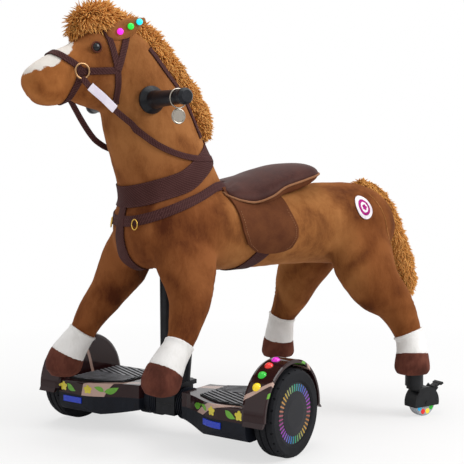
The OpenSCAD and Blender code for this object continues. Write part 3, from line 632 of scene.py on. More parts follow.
def curve(points: Sequence[Vector], steps: int) -> list[Vector]:
    """Smooth line through points.

    Args:
        points: Vectors of any one size.
        steps: Number of pieces between two points.

    Returns:
        Points along the line, the given ones among them.
    """
    out: list[Vector] = []
    for i in range(len(points) - 1):
        a, b = points[max(i - 1, 0)], points[i]
        c, d = points[i + 1], points[min(i + 2, len(points) - 1)]
        for k in range(steps):
            t = k / steps
            out.append(0.5 * (2 * b + (c - a) * t + (2 * a - 5 * b + 4 * c - d) * t * t
                              + (3 * b - a - 3 * c + d) * t**3))
    return out + [points[-1]]


def heading(points: Sequence[Vector], i: int) -> Vector:
    """Direction of a line of points at one of them."""
    return (points[min(i + 1, len(points) - 1)] - points[max(i - 1, 0)]).normalized()


def angles(steps: int) -> list[float]:
    """Angles once round a circle, the first one also at the end."""
    return [2.0 * math.pi * k / steps for k in range(steps + 1)]


def placing(first: Vector, second: Vector, third: Vector, spot: Vector) -> Matrix:
    """Placing with these three axes at a spot.

    Args:
        first: X axis, as long as the scale along it.
        second: Y axis.
        third: Z axis.
        spot: Origin.

    Returns:
        The placing.
    """
    out = Matrix((first, second, third)).transposed().to_4x4()
    out.translation = spot
    return out


@dataclass(frozen=True)
class Loft:
    """A tube skinned through stations: x, y, z of the middle, radius up or forward, radius sideways."""

    stations: Rows
    segments: int = 24
    steps: int = 3
    grow: float = 0.0

    def path(self) -> list[Vector]:
        """Smoothed stations as five-number vectors, in millimetres."""
        return curve([Vector(s) for s in self.stations], self.steps)

    def rings(self) -> list[Matrix]:
        """Places a unit circle at each smoothed station.

        Returns:
            The placings.
        """
        path = self.path()
        spots = [at(*p[:3]) for p in path]
        out = []
        for i, p in enumerate(path):
            ahead = heading(spots, i)
            across = (Y_AXIS - ahead.y * ahead).normalized()
            upward = ahead.cross(across)
            ends = (-1 if i == 0 else 1 if i == len(path) - 1 else 0) * self.grow * MM
            out.append(placing(upward * (p[3] + self.grow) * MM, across * (p[4] + self.grow) * MM, ahead,
                               spots[i] + ends * ahead))
        return out

    def add_to(self, bm: Mesh) -> None:
        """Draws the tube by pulling a circle from ring to ring."""
        sweep(bm, self.rings(), self.segments)


def sweep(bm: Mesh, rings: Sequence[Matrix], segments: int) -> None:
    """Closed tube made by extruding a circle through a list of placings.

    Args:
        bm: Mesh to add to.
        rings: Placing of a unit circle at each step.
        segments: Corners of the circle.
    """
    start = bmesh.ops.create_circle(bm, cap_ends=True, segments=segments, radius=1.0, matrix=rings[0])
    faces = {f for v in start["verts"] for f in v.link_faces}
    edges = list({e for v in start["verts"] for e in v.link_edges})
    for before, after in zip(rings, rings[1:]):
        grown = bmesh.ops.extrude_edge_only(bm, edges=edges)["geom"]
        verts = {g for g in grown if isinstance(g, bmesh.types.BMVert)}
        edges = [g for g in grown if isinstance(g, bmesh.types.BMEdge) and set(g.verts) <= verts]
        faces.update(g for g in grown if isinstance(g, bmesh.types.BMFace))
        bmesh.ops.transform(bm, matrix=after @ before.inverted(), verts=list(verts))
    faces.update(bmesh.ops.edgeloop_fill(bm, edges=edges)["faces"])
    bmesh.ops.recalc_face_normals(bm, faces=list(faces))


def tube(bm: Mesh, points: Sequence[Vector], radius_mm: float, segments: int = 8) -> None:
    """Round tube through points.

    Args:
        bm: Mesh to add to.
        points: Middle line, in the row frame.
        radius_mm: Radius of the tube.
        segments: Corners of its circle.
    """
    rings = []
    side = heading(points, 0).orthogonal().normalized()
    for i, p in enumerate(points):
        ahead = heading(points, i)
        side = (side - side.dot(ahead) * ahead).normalized()
        rings.append(placing(side * radius_mm * MM, ahead.cross(side) * radius_mm * MM, ahead, p))
    sweep(bm, rings, segments)


def stand(name: str, bm: Mesh) -> bpy.types.Object:
    """Sets a mesh out in the scene.

    Args:
        name: Name of the object.
        bm: Its mesh, which stays.

    Returns:
        The object.
    """
    mesh = bpy.data.meshes.new(name)
    bm.to_mesh(mesh)
    out = bpy.data.objects.new(name, mesh)
    bpy.context.scene.collection.objects.link(out)
    return out


def discard(draft: bpy.types.Object) -> None:
    """Removes an object and its mesh.

    Args:
        draft: Object that is no longer needed.
    """
    mesh = draft.data
    bpy.data.objects.remove(draft)
    bpy.data.meshes.remove(mesh)


def evaluated(bm: Mesh, modifier: str, **settings: Any) -> Mesh:
    """The mesh with one modifier applied.

    Args:
        bm: Mesh to change; it is freed.
        modifier: Blender's name of the modifier.
        settings: Attributes of the modifier.

    Returns:
        A new mesh.
    """
    draft = stand("draft", bm)
    bm.free()
    step = draft.modifiers.new("step", modifier)
    for key, value in settings.items():
        setattr(step, key, value)
    out = bmesh.new()
    out.from_object(draft, bpy.context.evaluated_depsgraph_get())
    discard(draft)
    return out


def relax(bm: Mesh, verts: Iterable[bmesh.types.BMVert], factor: float = 0.5) -> None:
    """Moves points towards the middle of their neighbours."""
    bmesh.ops.smooth_vert(bm, verts=verts, factor=factor, use_axis_x=True, use_axis_y=True, use_axis_z=True)


def remesh(bm: Mesh, voxel_mm: float, rounds: int) -> Mesh:
    """One even skin over everything in the mesh.

    Args:
        bm: Closed forms; they are freed.
        voxel_mm: Size of the skin's faces.
        rounds: How many times it is relaxed.

    Returns:
        The skin.
    """
    out = evaluated(bm, "REMESH", mode="VOXEL", voxel_size=voxel_mm * MM, adaptivity=0.0)
    for _ in range(rounds):
        relax(out, out.verts)
    return out


def carve(bm: Mesh, cutter: Mesh) -> Mesh:
    """Cuts one mesh out of another.

    Args:
        bm: Mesh to cut; it is freed.
        cutter: Mesh to take away; it is freed.

    Returns:
        What is left.
    """
    tool = stand("cutter", cutter)
    cutter.free()
    out = evaluated(bm, "BOOLEAN", operation="DIFFERENCE", solver="EXACT", object=tool)
    discard(tool)
    return out


def swell(bm: Mesh, held: Callable[[bmesh.types.BMVert], bool], pressure: float, cap_mm: float) -> None:
    """Swells a pad by a short cloth run with air pressure in it, and keeps the result in the mesh.

    Args:
        bm: Closed form of the pad, a little smaller than the finished one.
        held: Whether a point is sewn down and stays.
        pressure: Air pressure of the run.
        cap_mm: Furthest that a point may move.
    """
    scene = bpy.context.scene
    bm.verts.index_update()
    pad = stand("pad_run", bm)
    sewn = pad.vertex_groups.new(name="sewn")
    sewn.add([v.index for v in bm.verts if held(v)], 1.0, "REPLACE")
    run = pad.modifiers.new("air", "CLOTH")
    run.settings.quality = 6
    run.settings.vertex_group_mass = sewn.name
    run.settings.use_pressure = True
    run.settings.uniform_pressure_force = pressure
    run.settings.effector_weights.gravity = 0.0
    for moment in range(1, SWELL_FRAMES + 1):
        scene.frame_set(moment)
    swollen = pad.evaluated_get(bpy.context.evaluated_depsgraph_get()).to_mesh()
    for v, end in zip(bm.verts, swollen.vertices):
        move = end.co - v.co
        v.co += move * min(1.0, cap_mm * MM / max(move.length, 1e-9))
    scene.frame_set(1)
    discard(pad)


def press(bm: Mesh, centre: Vector, radius_mm: float, depth_mm: float) -> None:
    """Dents the skin around a point.

    Args:
        bm: Skin.
        centre: Middle of the dent.
        radius_mm: Its reach.
        depth_mm: Its depth; the skin swells where this is negative.
    """
    bm.normal_update()
    for v in bm.verts:
        near = (v.co - centre).length / (radius_mm * MM)
        if near < 1.0:
            v.co -= v.normal * depth_mm * MM * (1.0 - near * near) ** 2


def ripple(bm: Mesh, depth_mm: float, size_mm: float, seed: float) -> None:
    """Uneven stuffing: moves the skin along its normals by smooth noise.

    Args:
        bm: Skin.
        depth_mm: Furthest move.
        size_mm: Width of a bump.
        seed: Place in the noise.
    """
    bm.normal_update()
    shift = Vector((seed, seed * 1.7, seed * 0.3))
    moves = [noise.noise(v.co * per(size_mm) + shift) for v in bm.verts]
    for v, move in zip(bm.verts, moves):
        v.co += v.normal * move * depth_mm * MM


def present(name: str, bm: Mesh, finishes: Sequence[Finish], body: Body,
            nodes: Iterable[str] = ()) -> bpy.types.Object:
    """Turns a finished mesh into a piece of the model.

    Args:
        name: Name of the piece.
        bm: Its mesh, which is freed.
        finishes: Finish of each material index.
        body: Body that it moves with.
        nodes: CAD nodes that it stands for.

    Returns:
        The piece.
    """
    for face in bm.faces:
        face.smooth = True
    piece = stand(name, bm)
    bm.free()
    for finish in finishes:
        piece.data.materials.append(finish.material())
    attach(piece, body.value)
    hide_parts(*nodes)
    LOG.info("%s: %d faces on %s", name, len(piece.data.polygons), body.value)
    return piece


def dress(finish: Finish, *nodes: str) -> None:
    """Gives CAD nodes a finish.

    Args:
        finish: Finish to give.
        nodes: Names of the nodes.
    """
    for node in nodes:
        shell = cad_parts[node]
        shell.data.materials.clear()
        shell.data.materials.append(finish.material())
        LOG.info("%s: %s", node, finish.name)


FRONT_HOOF_Y, FRONT_HOOF_Z = 135.0, 124.0
HIND_HOOF_Y, HIND_HOOF_Z = 165.0, 99.0


def front_limb(side: Side) -> Rows:
    """Stations of a front leg from the body to the sole; number 4 is the sock's top and number 6 the hoof's.

    Args:
        side: Side of the leg; the right one is in the other half of the stride.

    Returns:
        The stations.
    """
    s, f = side.value, 0.0 if side is Side.LEFT else 1.0
    y, z = FRONT_HOOF_Y * s, FRONT_HOOF_Z
    return (
        (-30 - 8 * f, 54 * s, BACK - 74, 52, 40), (-20 - 42 * f, 82 * s, BACK - 150, 65 - 7 * f, 46),
        (-24 - 71 * f, 0.76 * y, z + 176, 46 - 3 * f, 41), (-42 - 89 * f, 0.84 * y, z + 126, 35 - 2 * f, 33),
        (-60 - 90 * f, 0.90 * y, z + 88, 27, 27), (-82 - 84 * f, 0.95 * y, z + 64, 30, 30),
        (-98 - 82 * f, 0.98 * y, z + 42, 34, 33), (-108 - 78 * f, y, z + 24, 36, 34),
        (-114 - 74 * f, y, z + 10, 33, 31), (-117 - 72 * f, y, z, 22, 20),
    )


def hind_limb(side: Side) -> Rows:
    """Stations of a hind leg from the body to the sole; number 4 is the sock's top and number 6 the hoof's.

    Args:
        side: Side of the leg; the right one is in the other half of the stride.

    Returns:
        The stations.
    """
    s, f = side.value, 0.0 if side is Side.LEFT else 1.0
    y, z = HIND_HOOF_Y * s, HIND_HOOF_Z
    return (
        (446, 44 * s, BACK - 74, 72, 48), (434 - 10 * f, 82 * s, BACK - 156, 80 - 6 * f, 56),
        (447 - 41 * f, 0.67 * y, z + 196 + 4 * f, 63 - 5 * f, 50),
        (489 - 91 * f, 0.79 * y, z + 150 - 4 * f, 44 - f, 42),
        (514 - 129 * f, 0.90 * y, z + 86 + 12 * f, 32 - 2 * f, 31 - 2 * f),
        (515 - 130 * f, 0.95 * y, z + 64, 31, 31), (513 - 128 * f, 0.985 * y, z + 41, 33, 33),
        (511 - 126 * f, y, z + 24, 36, 35), (511 - 126 * f, y, z + 9, 37, 36), (511 - 126 * f, y, z, 31, 30),
    )


def spine(*rows: Row) -> Rows:
    """Stations on the middle plane, from x, height over the back, radius up and radius sideways."""
    return tuple((x, 0.0, BACK + z, high, wide) for x, z, high, wide in rows)


TORSO = spine(
    (-119, -66, 16, 18), (-114, -67, 44, 46), (-98, -70, 76, 76), (-68, -75, 94, 98), (-20, -80, 99, 110),
    (60, -85, 95, 111), (160, -89, 88, 108), (280, -89, 87, 106), (390, -88, 91, 108), (468, -91, 91, 105),
    (513, -102, 79, 91), (546, -112, 58, 66), (563, -118, 32, 39), (568, -120, 12, 16),
)
NECK = spine(
    (-2, -36, 112, 95), (-23, 24, 102, 85), (-46, 88, 98, 75), (-69, 150, 93, 65), (-90, 205, 76, 57),
    (-112, 252, 60, 50), (-128, 288, 42, 40), (-134, 304, 20, 22),
)
HEAD = spine(
    (-92, 262, 34, 32), (-112, 258, 58, 46), (-162, 230, 84, 55), (-205, 219, 68, 50), (-237, 216, 49, 43),
    (-265, 201, 47, 42), (-290, 193, 43, 41), (-308, 189, 33, 34), (-317, 186, 19, 21), (-321, 184, 7, 8),
)
MANE = spine(
    (-128, 314, 14, 16), (-104, 312, 23, 24), (-62, 291, 25, 25), (-24, 250, 25, 25), (18, 203, 26, 25),
    (54, 146, 26, 25), (68, 110, 19, 19), (72, 94, 8, 10),
)
FORELOCK = spine(
    (-116, 322, 12, 14), (-136, 321, 23, 30), (-166, 323, 30, 38), (-191, 318, 27, 34), (-209, 303, 18, 25),
    (-216, 289, 8, 13),
)
TAIL = spine(
    (488, -2, 11, 18), (512, -14, 22, 31), (546, -46, 29, 38), (578, -106, 32, 42), (611, -172, 31, 41),
    (636, -224, 27, 36), (645, -250, 18, 24), (646, -262, 8, 12),
)
SEAT_FORM = spine(
    (70, -16, 12, 68), (77, -18, 25, 84), (88, -22, 33, 91), (106, -27, 39, 95), (138, -30, 45, 98),
    (178, -19, 43, 99), (214, -1, 36, 96), (262, 11, 35, 89), (308, 21, 28, 76), (334, 25, 19, 54),
    (345, 27, 8, 26),
)
LIMBS = {
    "front_left": front_limb(Side.LEFT), "front_right": front_limb(Side.RIGHT),
    "hind_left": hind_limb(Side.LEFT), "hind_right": hind_limb(Side.RIGHT),
}


@dataclass
class PlushBody:
    """The stuffed horse: one sewn coat, ears, eyes, socks and hooves."""

    voxel_mm: float = 4.6
    crown_radius_mm: float = 74.0
    crown_top_mm: float = 367.0
    seam_mm: float = 1.0
    ear_lamp_mm: float = 6.2
    eye_mm: float = 9.3
    lid_mm: float = 9.6
    sock_mm: float = 2.0
    hoof_mm: float = 2.8

    def build(self) -> BVHTree:
        """Makes the stuffed pieces.

        Returns:
            The coat's surface, for what lies on it.
        """
        skin = self.coat()
        surface = BVHTree.FromBMesh(skin)
        coat = present("plush_coat", skin, (COAT,), Body.HORSE,
                       ("torso", "neck", "head", "front_left_leg", "front_right_leg", "hind_left_leg",
                        "hind_right_leg"))
        self.seams(surface)
        self.ears()
        self.ear_lamps()
        self.eyes()
        self.feet()
        return surface

    def coat(self) -> Mesh:
        """Body, neck, head and legs under one skin, with room for the fork's crown in the chest.

        Returns:
            The skin.
        """
        bm = bmesh.new()
        for stations, segments in ((TORSO, 36), (NECK, 32), (HEAD, 32)):
            Loft(stations, segments).add_to(bm)
        for stations in LIMBS.values():
            Loft(stations[:6], 24, grow=-0.6).add_to(bm)
        bm = remesh(bm, self.voxel_mm, 0)
        room = bmesh.new()
        bmesh.ops.create_cone(room, cap_ends=True, segments=48, radius1=self.crown_radius_mm * MM,
                              radius2=self.crown_radius_mm * MM, depth=0.2,
                              matrix=Matrix.Translation(at(0.0, 0.0, self.crown_top_mm - 100.0)))
        bm = remesh(carve(bm, room), self.voxel_mm, 7)
        ripple(bm, 2.2, 70.0, 3.1)
        ripple(bm, 0.7, 16.0, 8.4)
        self.creases(bm)
        self.face(bm)
        return bm

    def creases(self, bm: Mesh) -> None:
        """Folds where the legs bend, as rows of shallow dents across them.

        Args:
            bm: Skin of the coat.
        """
        bm.normal_update()
        folds = (
            (at(522.0, -125.0, 262.0), 46.0, 9.0, 1.5, Vector((0.45, 0.0, 0.9))),
            (at(380.0, 140.0, 262.0), 40.0, 9.0, 1.2, Vector((0.1, 0.0, 1.0))),
            (at(-10.0, -108.0, 330.0), 50.0, 15.0, 1.1, Vector((0.5, 0.0, 0.85))),
            (at(-70.0, 100.0, 330.0), 50.0, 15.0, 1.1, Vector((0.6, 0.0, 0.8))),
            (at(-96.0, -30.0, BACK + 150.0), 60.0, 22.0, 1.6, Vector((0.3, 0.0, 0.95))),
        )
        for centre, reach, pitch, depth, run in folds:
            for v in bm.verts:
                near = (v.co - centre).length / (reach * MM)
                if near < 1.0:
                    wander = noise.noise(v.co * per(30.0)) * 0.004
                    wave = math.sin(2.0 * math.pi * ((v.co - centre).dot(run) + wander) / (pitch * MM))
                    v.co += v.normal * wave * depth * MM * (1.0 - near) ** 0.8

    def face(self, bm: Mesh) -> None:
        """Nostrils, eye hollows, cheeks and the soft line of the mouth.

        Args:
            bm: Skin of the coat.
        """
        for s in SIDES:
            press(bm, at(-307.0, s * 24.0, BACK + 184.0), 11.0, 3.4)
            press(bm, at(-194.0, s * 47.0, BACK + 263.0), 24.0, 3.0)
            press(bm, at(-150.0, s * 54.0, BACK + 214.0), 52.0, -4.0)
            for k in range(7):
                press(bm, at(-316.0 + k * 7.0, s * (14.0 + 3.4 * k), BACK + 163.0 + 0.9 * k), 8.0, 1.5)
        press(bm, at(-321.0, 0.0, BACK + 162.0), 14.0, 1.6)

    def seams(self, surface: BVHTree) -> None:
        """Raised seam round the back of each haunch, where two panels of plush are joined.

        Args:
            surface: Surface of the coat.
        """
        points = ((462.0, -22.0), (481.0, -60.0), (494.0, -106.0), (504.0, -150.0))
        line = curve([Vector(p) for p in points], 12)
        bm = bmesh.new()
        for s in SIDES:
            hits = [surface.ray_cast(at(p.x, 0.0, BACK + p.y), Y_AXIS * s) for p in line]
            thread = [spot + outward * 0.4 * MM for spot, outward, _, _ in hits if spot is not None]
            tube(bm, thread, self.seam_mm, 6)
        present("haunch_seams", bm, (SEAM,), Body.HORSE)

    def ears(self) -> None:
        """Two leaf-shaped ears, hollowed on the inside."""
        bm = bmesh.new()
        for s in SIDES:
            Loft(((-166, 36 * s, BACK + 284, 10, 8), (-152, 40 * s, BACK + 291, 17, 10),
                  (-129, 44 * s, BACK + 303, 18, 10), (-108, 47 * s, BACK + 314, 12, 7),
                  (-90, 48 * s, BACK + 323, 4, 3)), 16, 4).add_to(bm)
        bm = remesh(bm, 2.4, 3)
        for s in SIDES:
            for k in range(5):
                press(bm, at(-150.0 + 11.0 * k, s * (50.0 + 0.8 * k), BACK + 294.0 + 5.5 * k), 12.0, 3.2)
        ears = present("plush_ears", bm, (COAT,), Body.HORSE, ("ears",))

    def ear_lamps(self) -> None:
        """Three coloured lamps on each ear."""
        places = ((-146.0, 51.0, 295.0, "magenta", "#E321C8"), (-125.0, 54.0, 306.0, "green", "#17C53A"),
                  (-106.0, 54.0, 316.0, "cyan", "#18C6DE"))
        for x, y, z, word, code in places:
            bm = bmesh.new()
            for s in SIDES:
                bmesh.ops.create_uvsphere(bm, u_segments=20, v_segments=12, radius=self.ear_lamp_mm * MM,
                                          matrix=Matrix.Translation(at(x, s * y, BACK + z)))
            present(f"ear_lamps_{word}", bm, (Lamp(f"led_lens_{word}", code, 1.1),), Body.HORSE,
                    ("ear_lamps",))

    def eyes(self) -> None:
        """Domed safety eyes in a dark felt lid ring."""
        bm, lids = bmesh.new(), bmesh.new()
        for s in SIDES:
            spot = at(-194.0, s * 44.6, BACK + 263.0)
            flat = Matrix.Translation(spot) @ Matrix.Diagonal((1.0, 0.72, 1.0, 1.0))
            bmesh.ops.create_uvsphere(bm, u_segments=28, v_segments=16, radius=self.eye_mm * MM, matrix=flat)
            ring = [spot + Vector((math.cos(a) * self.lid_mm, s * 3.2, math.sin(a) * self.lid_mm)) * MM
                    for a in angles(30)]
            tube(lids, ring, 1.5)
        present("glossy_eyes", bm, (EYE,), Body.HORSE, ("eyes",))
        bmesh.ops.remove_doubles(lids, verts=lids.verts, dist=1e-5)
        present("eye_lids", lids, (HOOF,), Body.HORSE)

    def feet(self) -> None:
        """White socks with a rolled top, and rounded hooves with a flat sole."""
        for end in ("front", "hind"):
            socks, hooves = bmesh.new(), bmesh.new()
            for side in ("left", "right"):
                path = [tuple(p) for p in Loft(LIMBS[f"{end}_{side}"], 24, 4).path()]
                Loft(tuple(path[16:25]), 24, 1, grow=self.sock_mm).add_to(socks)
                top = Loft(tuple(path[15:18]), 24, 1, grow=self.sock_mm).rings()[1]
                tube(socks, [top @ Vector((math.cos(a), math.sin(a), 0.0)) for a in angles(32)], 2.2)
                Loft(tuple(path[24:]), 24, 1, grow=self.hoof_mm).add_to(hooves)
            sole = (FRONT_HOOF_Z - 2.0 if end == "front" else HIND_HOOF_Z) + 0.4
            hooves = remesh(hooves, 3.2, 3)
            bmesh.ops.bisect_plane(hooves, geom=hooves.verts[:] + hooves.edges[:] + hooves.faces[:],
                                   plane_co=Z_AXIS * sole * MM, plane_no=-Z_AXIS, clear_outer=True)
            bmesh.ops.holes_fill(hooves, edges=[e for e in hooves.edges if e.is_boundary], sides=0)
            ripple(hooves, 0.7, 18.0, 5.0)
            socks = remesh(socks, 2.8, 2)
            ripple(socks, 0.9, 24.0, 9.0)
            present(f"{end}_socks_white", socks, (SOCK,), Body.HORSE, (f"{end}_socks",))
            present(f"{end}_hooves_brown", hooves, (HOOF,), Body.HORSE, (f"{end}_hooves",))


@dataclass
class Tufts:
    """A fur piece: a soft core with a tuft of hair at every point of its skin."""

    coat: BVHTree
    name: str
    forms: tuple[Rows, ...]
    nodes: tuple[str, ...]
    fall: Vector
    length_mm: float = 12.5
    spacing_mm: float = 3.0
    sink_mm: float = -5.0
    droop: float = 0.16
    seed: int = 7
    plume_x: float = -10.0
    plume: float = 1.4
    shaded_root_tone: float = 0.12

    def build(self) -> None:
        """Makes the core and pulls a bent, tapering tuft out of each face that is clear of the coat."""
        draw = random.Random(self.seed)
        # Unseeded, noise_vector takes its place from the clock.
        noise.seed_set(self.seed)
        bm = bmesh.new()
        for form in self.forms:
            Loft(form, 20, 3, grow=self.sink_mm).add_to(bm)
        bm = remesh(bm, self.spacing_mm, 2)
        ripple(bm, 2.5, 24.0, 2.0)
        bm.normal_update()
        # The tone starts low at the core, as painted shade at the base of the tufts, and rises along each
        # tuft with a random drift from tuft to tuft.
        tone = bm.verts.layers.float.new("tone")
        for v in bm.verts:
            v[tone] = self.shaded_root_tone
        tops = [f for f in bm.faces if self.clear(f)]
        leans = [self.lean(f, draw) for f in tops]
        tones = [draw.uniform(-0.14, 0.14) for _ in tops]
        for share, taper in ((0.38, 1.0), (0.34, 0.68), (0.28, 0.18)):
            tops = bmesh.ops.extrude_discrete_faces(bm, faces=tops)["faces"]
            for top, lean, drift in zip(tops, leans, tones):
                middle = top.calc_center_median()
                lean += self.fall * self.droop * lean.length
                for v in top.verts:
                    v.co = middle + (v.co - middle) * taper + lean * share
                    v[tone] += share * 0.72 + drift * share
        piece = present(self.name, bm, (FUR,), Body.HORSE, self.nodes)

    def clear(self, face: bmesh.types.BMFace) -> bool:
        """Tells whether a tuft on a face grows away from the coat.

        Args:
            face: Face of the core.

        Returns:
            Whether it does.
        """
        spot = face.calc_center_median()
        near, outward, _, _ = self.coat.find_nearest(spot)
        return (spot - near).dot(outward) > -1.0 * MM

    def lean(self, face: bmesh.types.BMFace, draw: random.Random) -> Vector:
        """Length and direction of one tuft, longer in front of the plume's place.

        Args:
            face: Face that it grows on.
            draw: Source of chance.

        Returns:
            The tuft as a vector.
        """
        spot = face.calc_center_median()
        stray = Vector([draw.uniform(-0.6, 0.6) for _ in range(3)])
        clump = noise.noise_vector(spot * per(16.0)) * 1.1
        lock = 1.0 + 0.45 * noise.noise(spot * per(21.0))
        plume = self.plume if spot.x < self.plume_x else 1.0
        long = self.length_mm * MM * lock * draw.uniform(0.55, 1.3) * plume
        return (face.normal + self.fall + stray + clump).normalized() * long


def weave(bm: Mesh, rows: Sequence[Sequence[Vector]], closed: bool = False) -> None:
    """Adds a sheet through rows of points, with a map of its own in metres along and across it.

    Args:
        bm: Mesh to add to.
        rows: Rows of equally many points.
        closed: Whether the last row is joined to the first.
    """
    spots = [*rows, rows[0]] if closed else list(rows)
    count, wide = len(spots), len(spots[0])
    middle = wide // 2
    flat = bm.loops.layers.uv.get("run") or bm.loops.layers.uv.new("run")
    run = [0.0]
    for a, b in zip(spots, spots[1:]):
        run.append(run[-1] + (b[middle] - a[middle]).length)
    verts = bmesh.ops.create_grid(bm, x_segments=count - 1, y_segments=wide - 1, size=0.5)["verts"]
    cell = {v: (round((v.co.x + 0.5) * (count - 1)), round((v.co.y + 0.5) * (wide - 1))) for v in verts}
    for face in {f for v in verts for f in v.link_faces}:
        for loop in face.loops:
            i, j = cell[loop.vert]
            across = (spots[i][j] - spots[i][middle]).length
            loop[flat].uv = (run[i], across if j > middle else -across)
    for v, (i, j) in cell.items():
        v.co = spots[i][j]
    if closed:
        bmesh.ops.remove_doubles(bm, verts=verts, dist=1e-6)


def cast(surface: BVHTree, start: Vector, aim: Vector, lift_mm: float, miss: Vector) -> Vector:
    """Point where a ray meets a surface, lifted off it, or another point where it misses."""
    hit, outward, _, _ = surface.ray_cast(start, aim)
    return miss if hit is None else hit + outward * lift_mm * MM


def clear_of(surface: BVHTree, spot: Vector, lift_mm: float) -> tuple[Vector, Vector, float]:
    """Measures how far a point is short of a distance from a surface.

    Args:
        surface: Surface to keep away from.
        spot: The point.
        lift_mm: The distance.

    Returns:
        The nearest point of the surface, its outward direction, and what is missing.
    """
    near, outward, _, _ = surface.find_nearest(spot)
    return near, outward, lift_mm * MM - (spot - near).dot(outward)


def settle(bm: Mesh, coat: BVHTree, lift_mm: float, rounds: int) -> None:
    """Evens a sheet out and keeps it off the coat.

    Args:
        bm: The sheet.
        coat: Surface of the coat.
        lift_mm: Least distance from it.
        rounds: How many times it is relaxed.
    """
    for _ in range(rounds):
        relax(bm, [v for v in bm.verts if not v.is_boundary])
    for v in bm.verts:
        _, outward, short = clear_of(coat, v.co, lift_mm)
        if short > 0.0:
            v.co += outward * short


def thicken(bm: Mesh, thick_mm: float, round_mm: float) -> Mesh:
    """A sheet as a closed solid with rounded edges.

    Args:
        bm: The sheet; it is freed.
        thick_mm: Thickness of the solid.
        round_mm: Width of its rounded edges.

    Returns:
        The solid.
    """
    out = evaluated(bm, "SOLIDIFY", thickness=thick_mm * MM, offset=0.0, use_even_offset=False)
    out = evaluated(out, "BEVEL", width=round_mm * MM, segments=2, limit_method="ANGLE",
                    angle_limit=math.radians(50.0))
    bmesh.ops.recalc_face_normals(out, faces=out.faces)
    return out


@dataclass(frozen=True)
class Strap:
    """A strap along a line drawn in side view: x from the steering axis, z from the back.

    It lies on both flanks and goes round the horse at its first point, its last point, both or neither.
    """

    line: Rows
    width_mm: float
    first: bool = False
    last: bool = False
    lift_mm: float = 1.9
    across: int = 5
    fan: int = 24

    def rows(self, coat: BVHTree) -> list[tuple[list[list[Vector]], bool]]:
        """Rows of points on the coat.

        Args:
            coat: Surface that it lies on.

        Returns:
            Each run of the strap and whether it closes on itself.
        """
        path = curve([Vector(p) for p in self.line], 8)
        ways = [heading(path, i) for i in range(len(path))]
        left, right = ([self.row(coat, p, w, Y_AXIS * s) for p, w in zip(path, ways)] for s in SIDES)
        turns = [math.pi * (k / self.fan - 0.5) for k in range(1, self.fan)]
        ends = []
        for spot, way, sign in ((path[0], ways[0], -1.0), (path[-1], ways[-1], 1.0)):
            out = Vector((way.x, 0.0, way.y)) * sign
            ends.append([self.row(coat, spot, way, out * math.cos(a) + Y_AXIS * math.sin(a)) for a in turns])
        if self.first and self.last:
            return [(left + ends[1] + right[::-1] + ends[0][::-1], True)]
        if self.last:
            return [(left + ends[1] + right[::-1], False)]
        if self.first:
            return [(left[::-1] + ends[0] + right, False)]
        return [(left, False), (right, False)]

    def row(self, coat: BVHTree, spot: Vector, way: Vector, aim: Vector) -> list[Vector]:
        """Points across the strap, thrown from inside the horse onto its coat.

        Args:
            coat: Surface that it lies on.
            spot: Place on the strap's line.
            way: Direction of the line there.
            aim: Direction of the throw.

        Returns:
            The points.
        """
        out = []
        for k in range(self.across):
            shift = self.width_mm * (k / (self.across - 1) - 0.5)
            start = at(spot.x - way.y * shift, 0.0, BACK + spot.y + way.x * shift)
            out.append(cast(coat, start, aim, self.lift_mm, start + aim * 0.04))
        return out

    def add_to(self, bm: Mesh, coat: BVHTree) -> None:
        """Adds the strap to a mesh of sheets."""
        for rows, closed in self.rows(coat):
            weave(bm, rows, closed)


def ribbon(points: Sequence[Vector], width_mm: float, twist_deg: float = 0.0,
           across: int = 5) -> list[list[Vector]]:
    """Rows of a free strap through points, with its face to the side.

    Args:
        points: Middle line.
        width_mm: Width of the strap.
        twist_deg: Turn of its face at the first point, which runs out towards the last.
        across: Points in a row.

    Returns:
        The rows.
    """
    out = []
    for i, p in enumerate(points):
        way = heading(points, i)
        turn = math.radians(twist_deg) * (1.0 - i / (len(points) - 1))
        side = Matrix.Rotation(turn, 3, way) @ Y_AXIS.cross(way).normalized()
        out.append([p + side * width_mm * MM * (k / (across - 1) - 0.5) for k in range(across)])
    return out


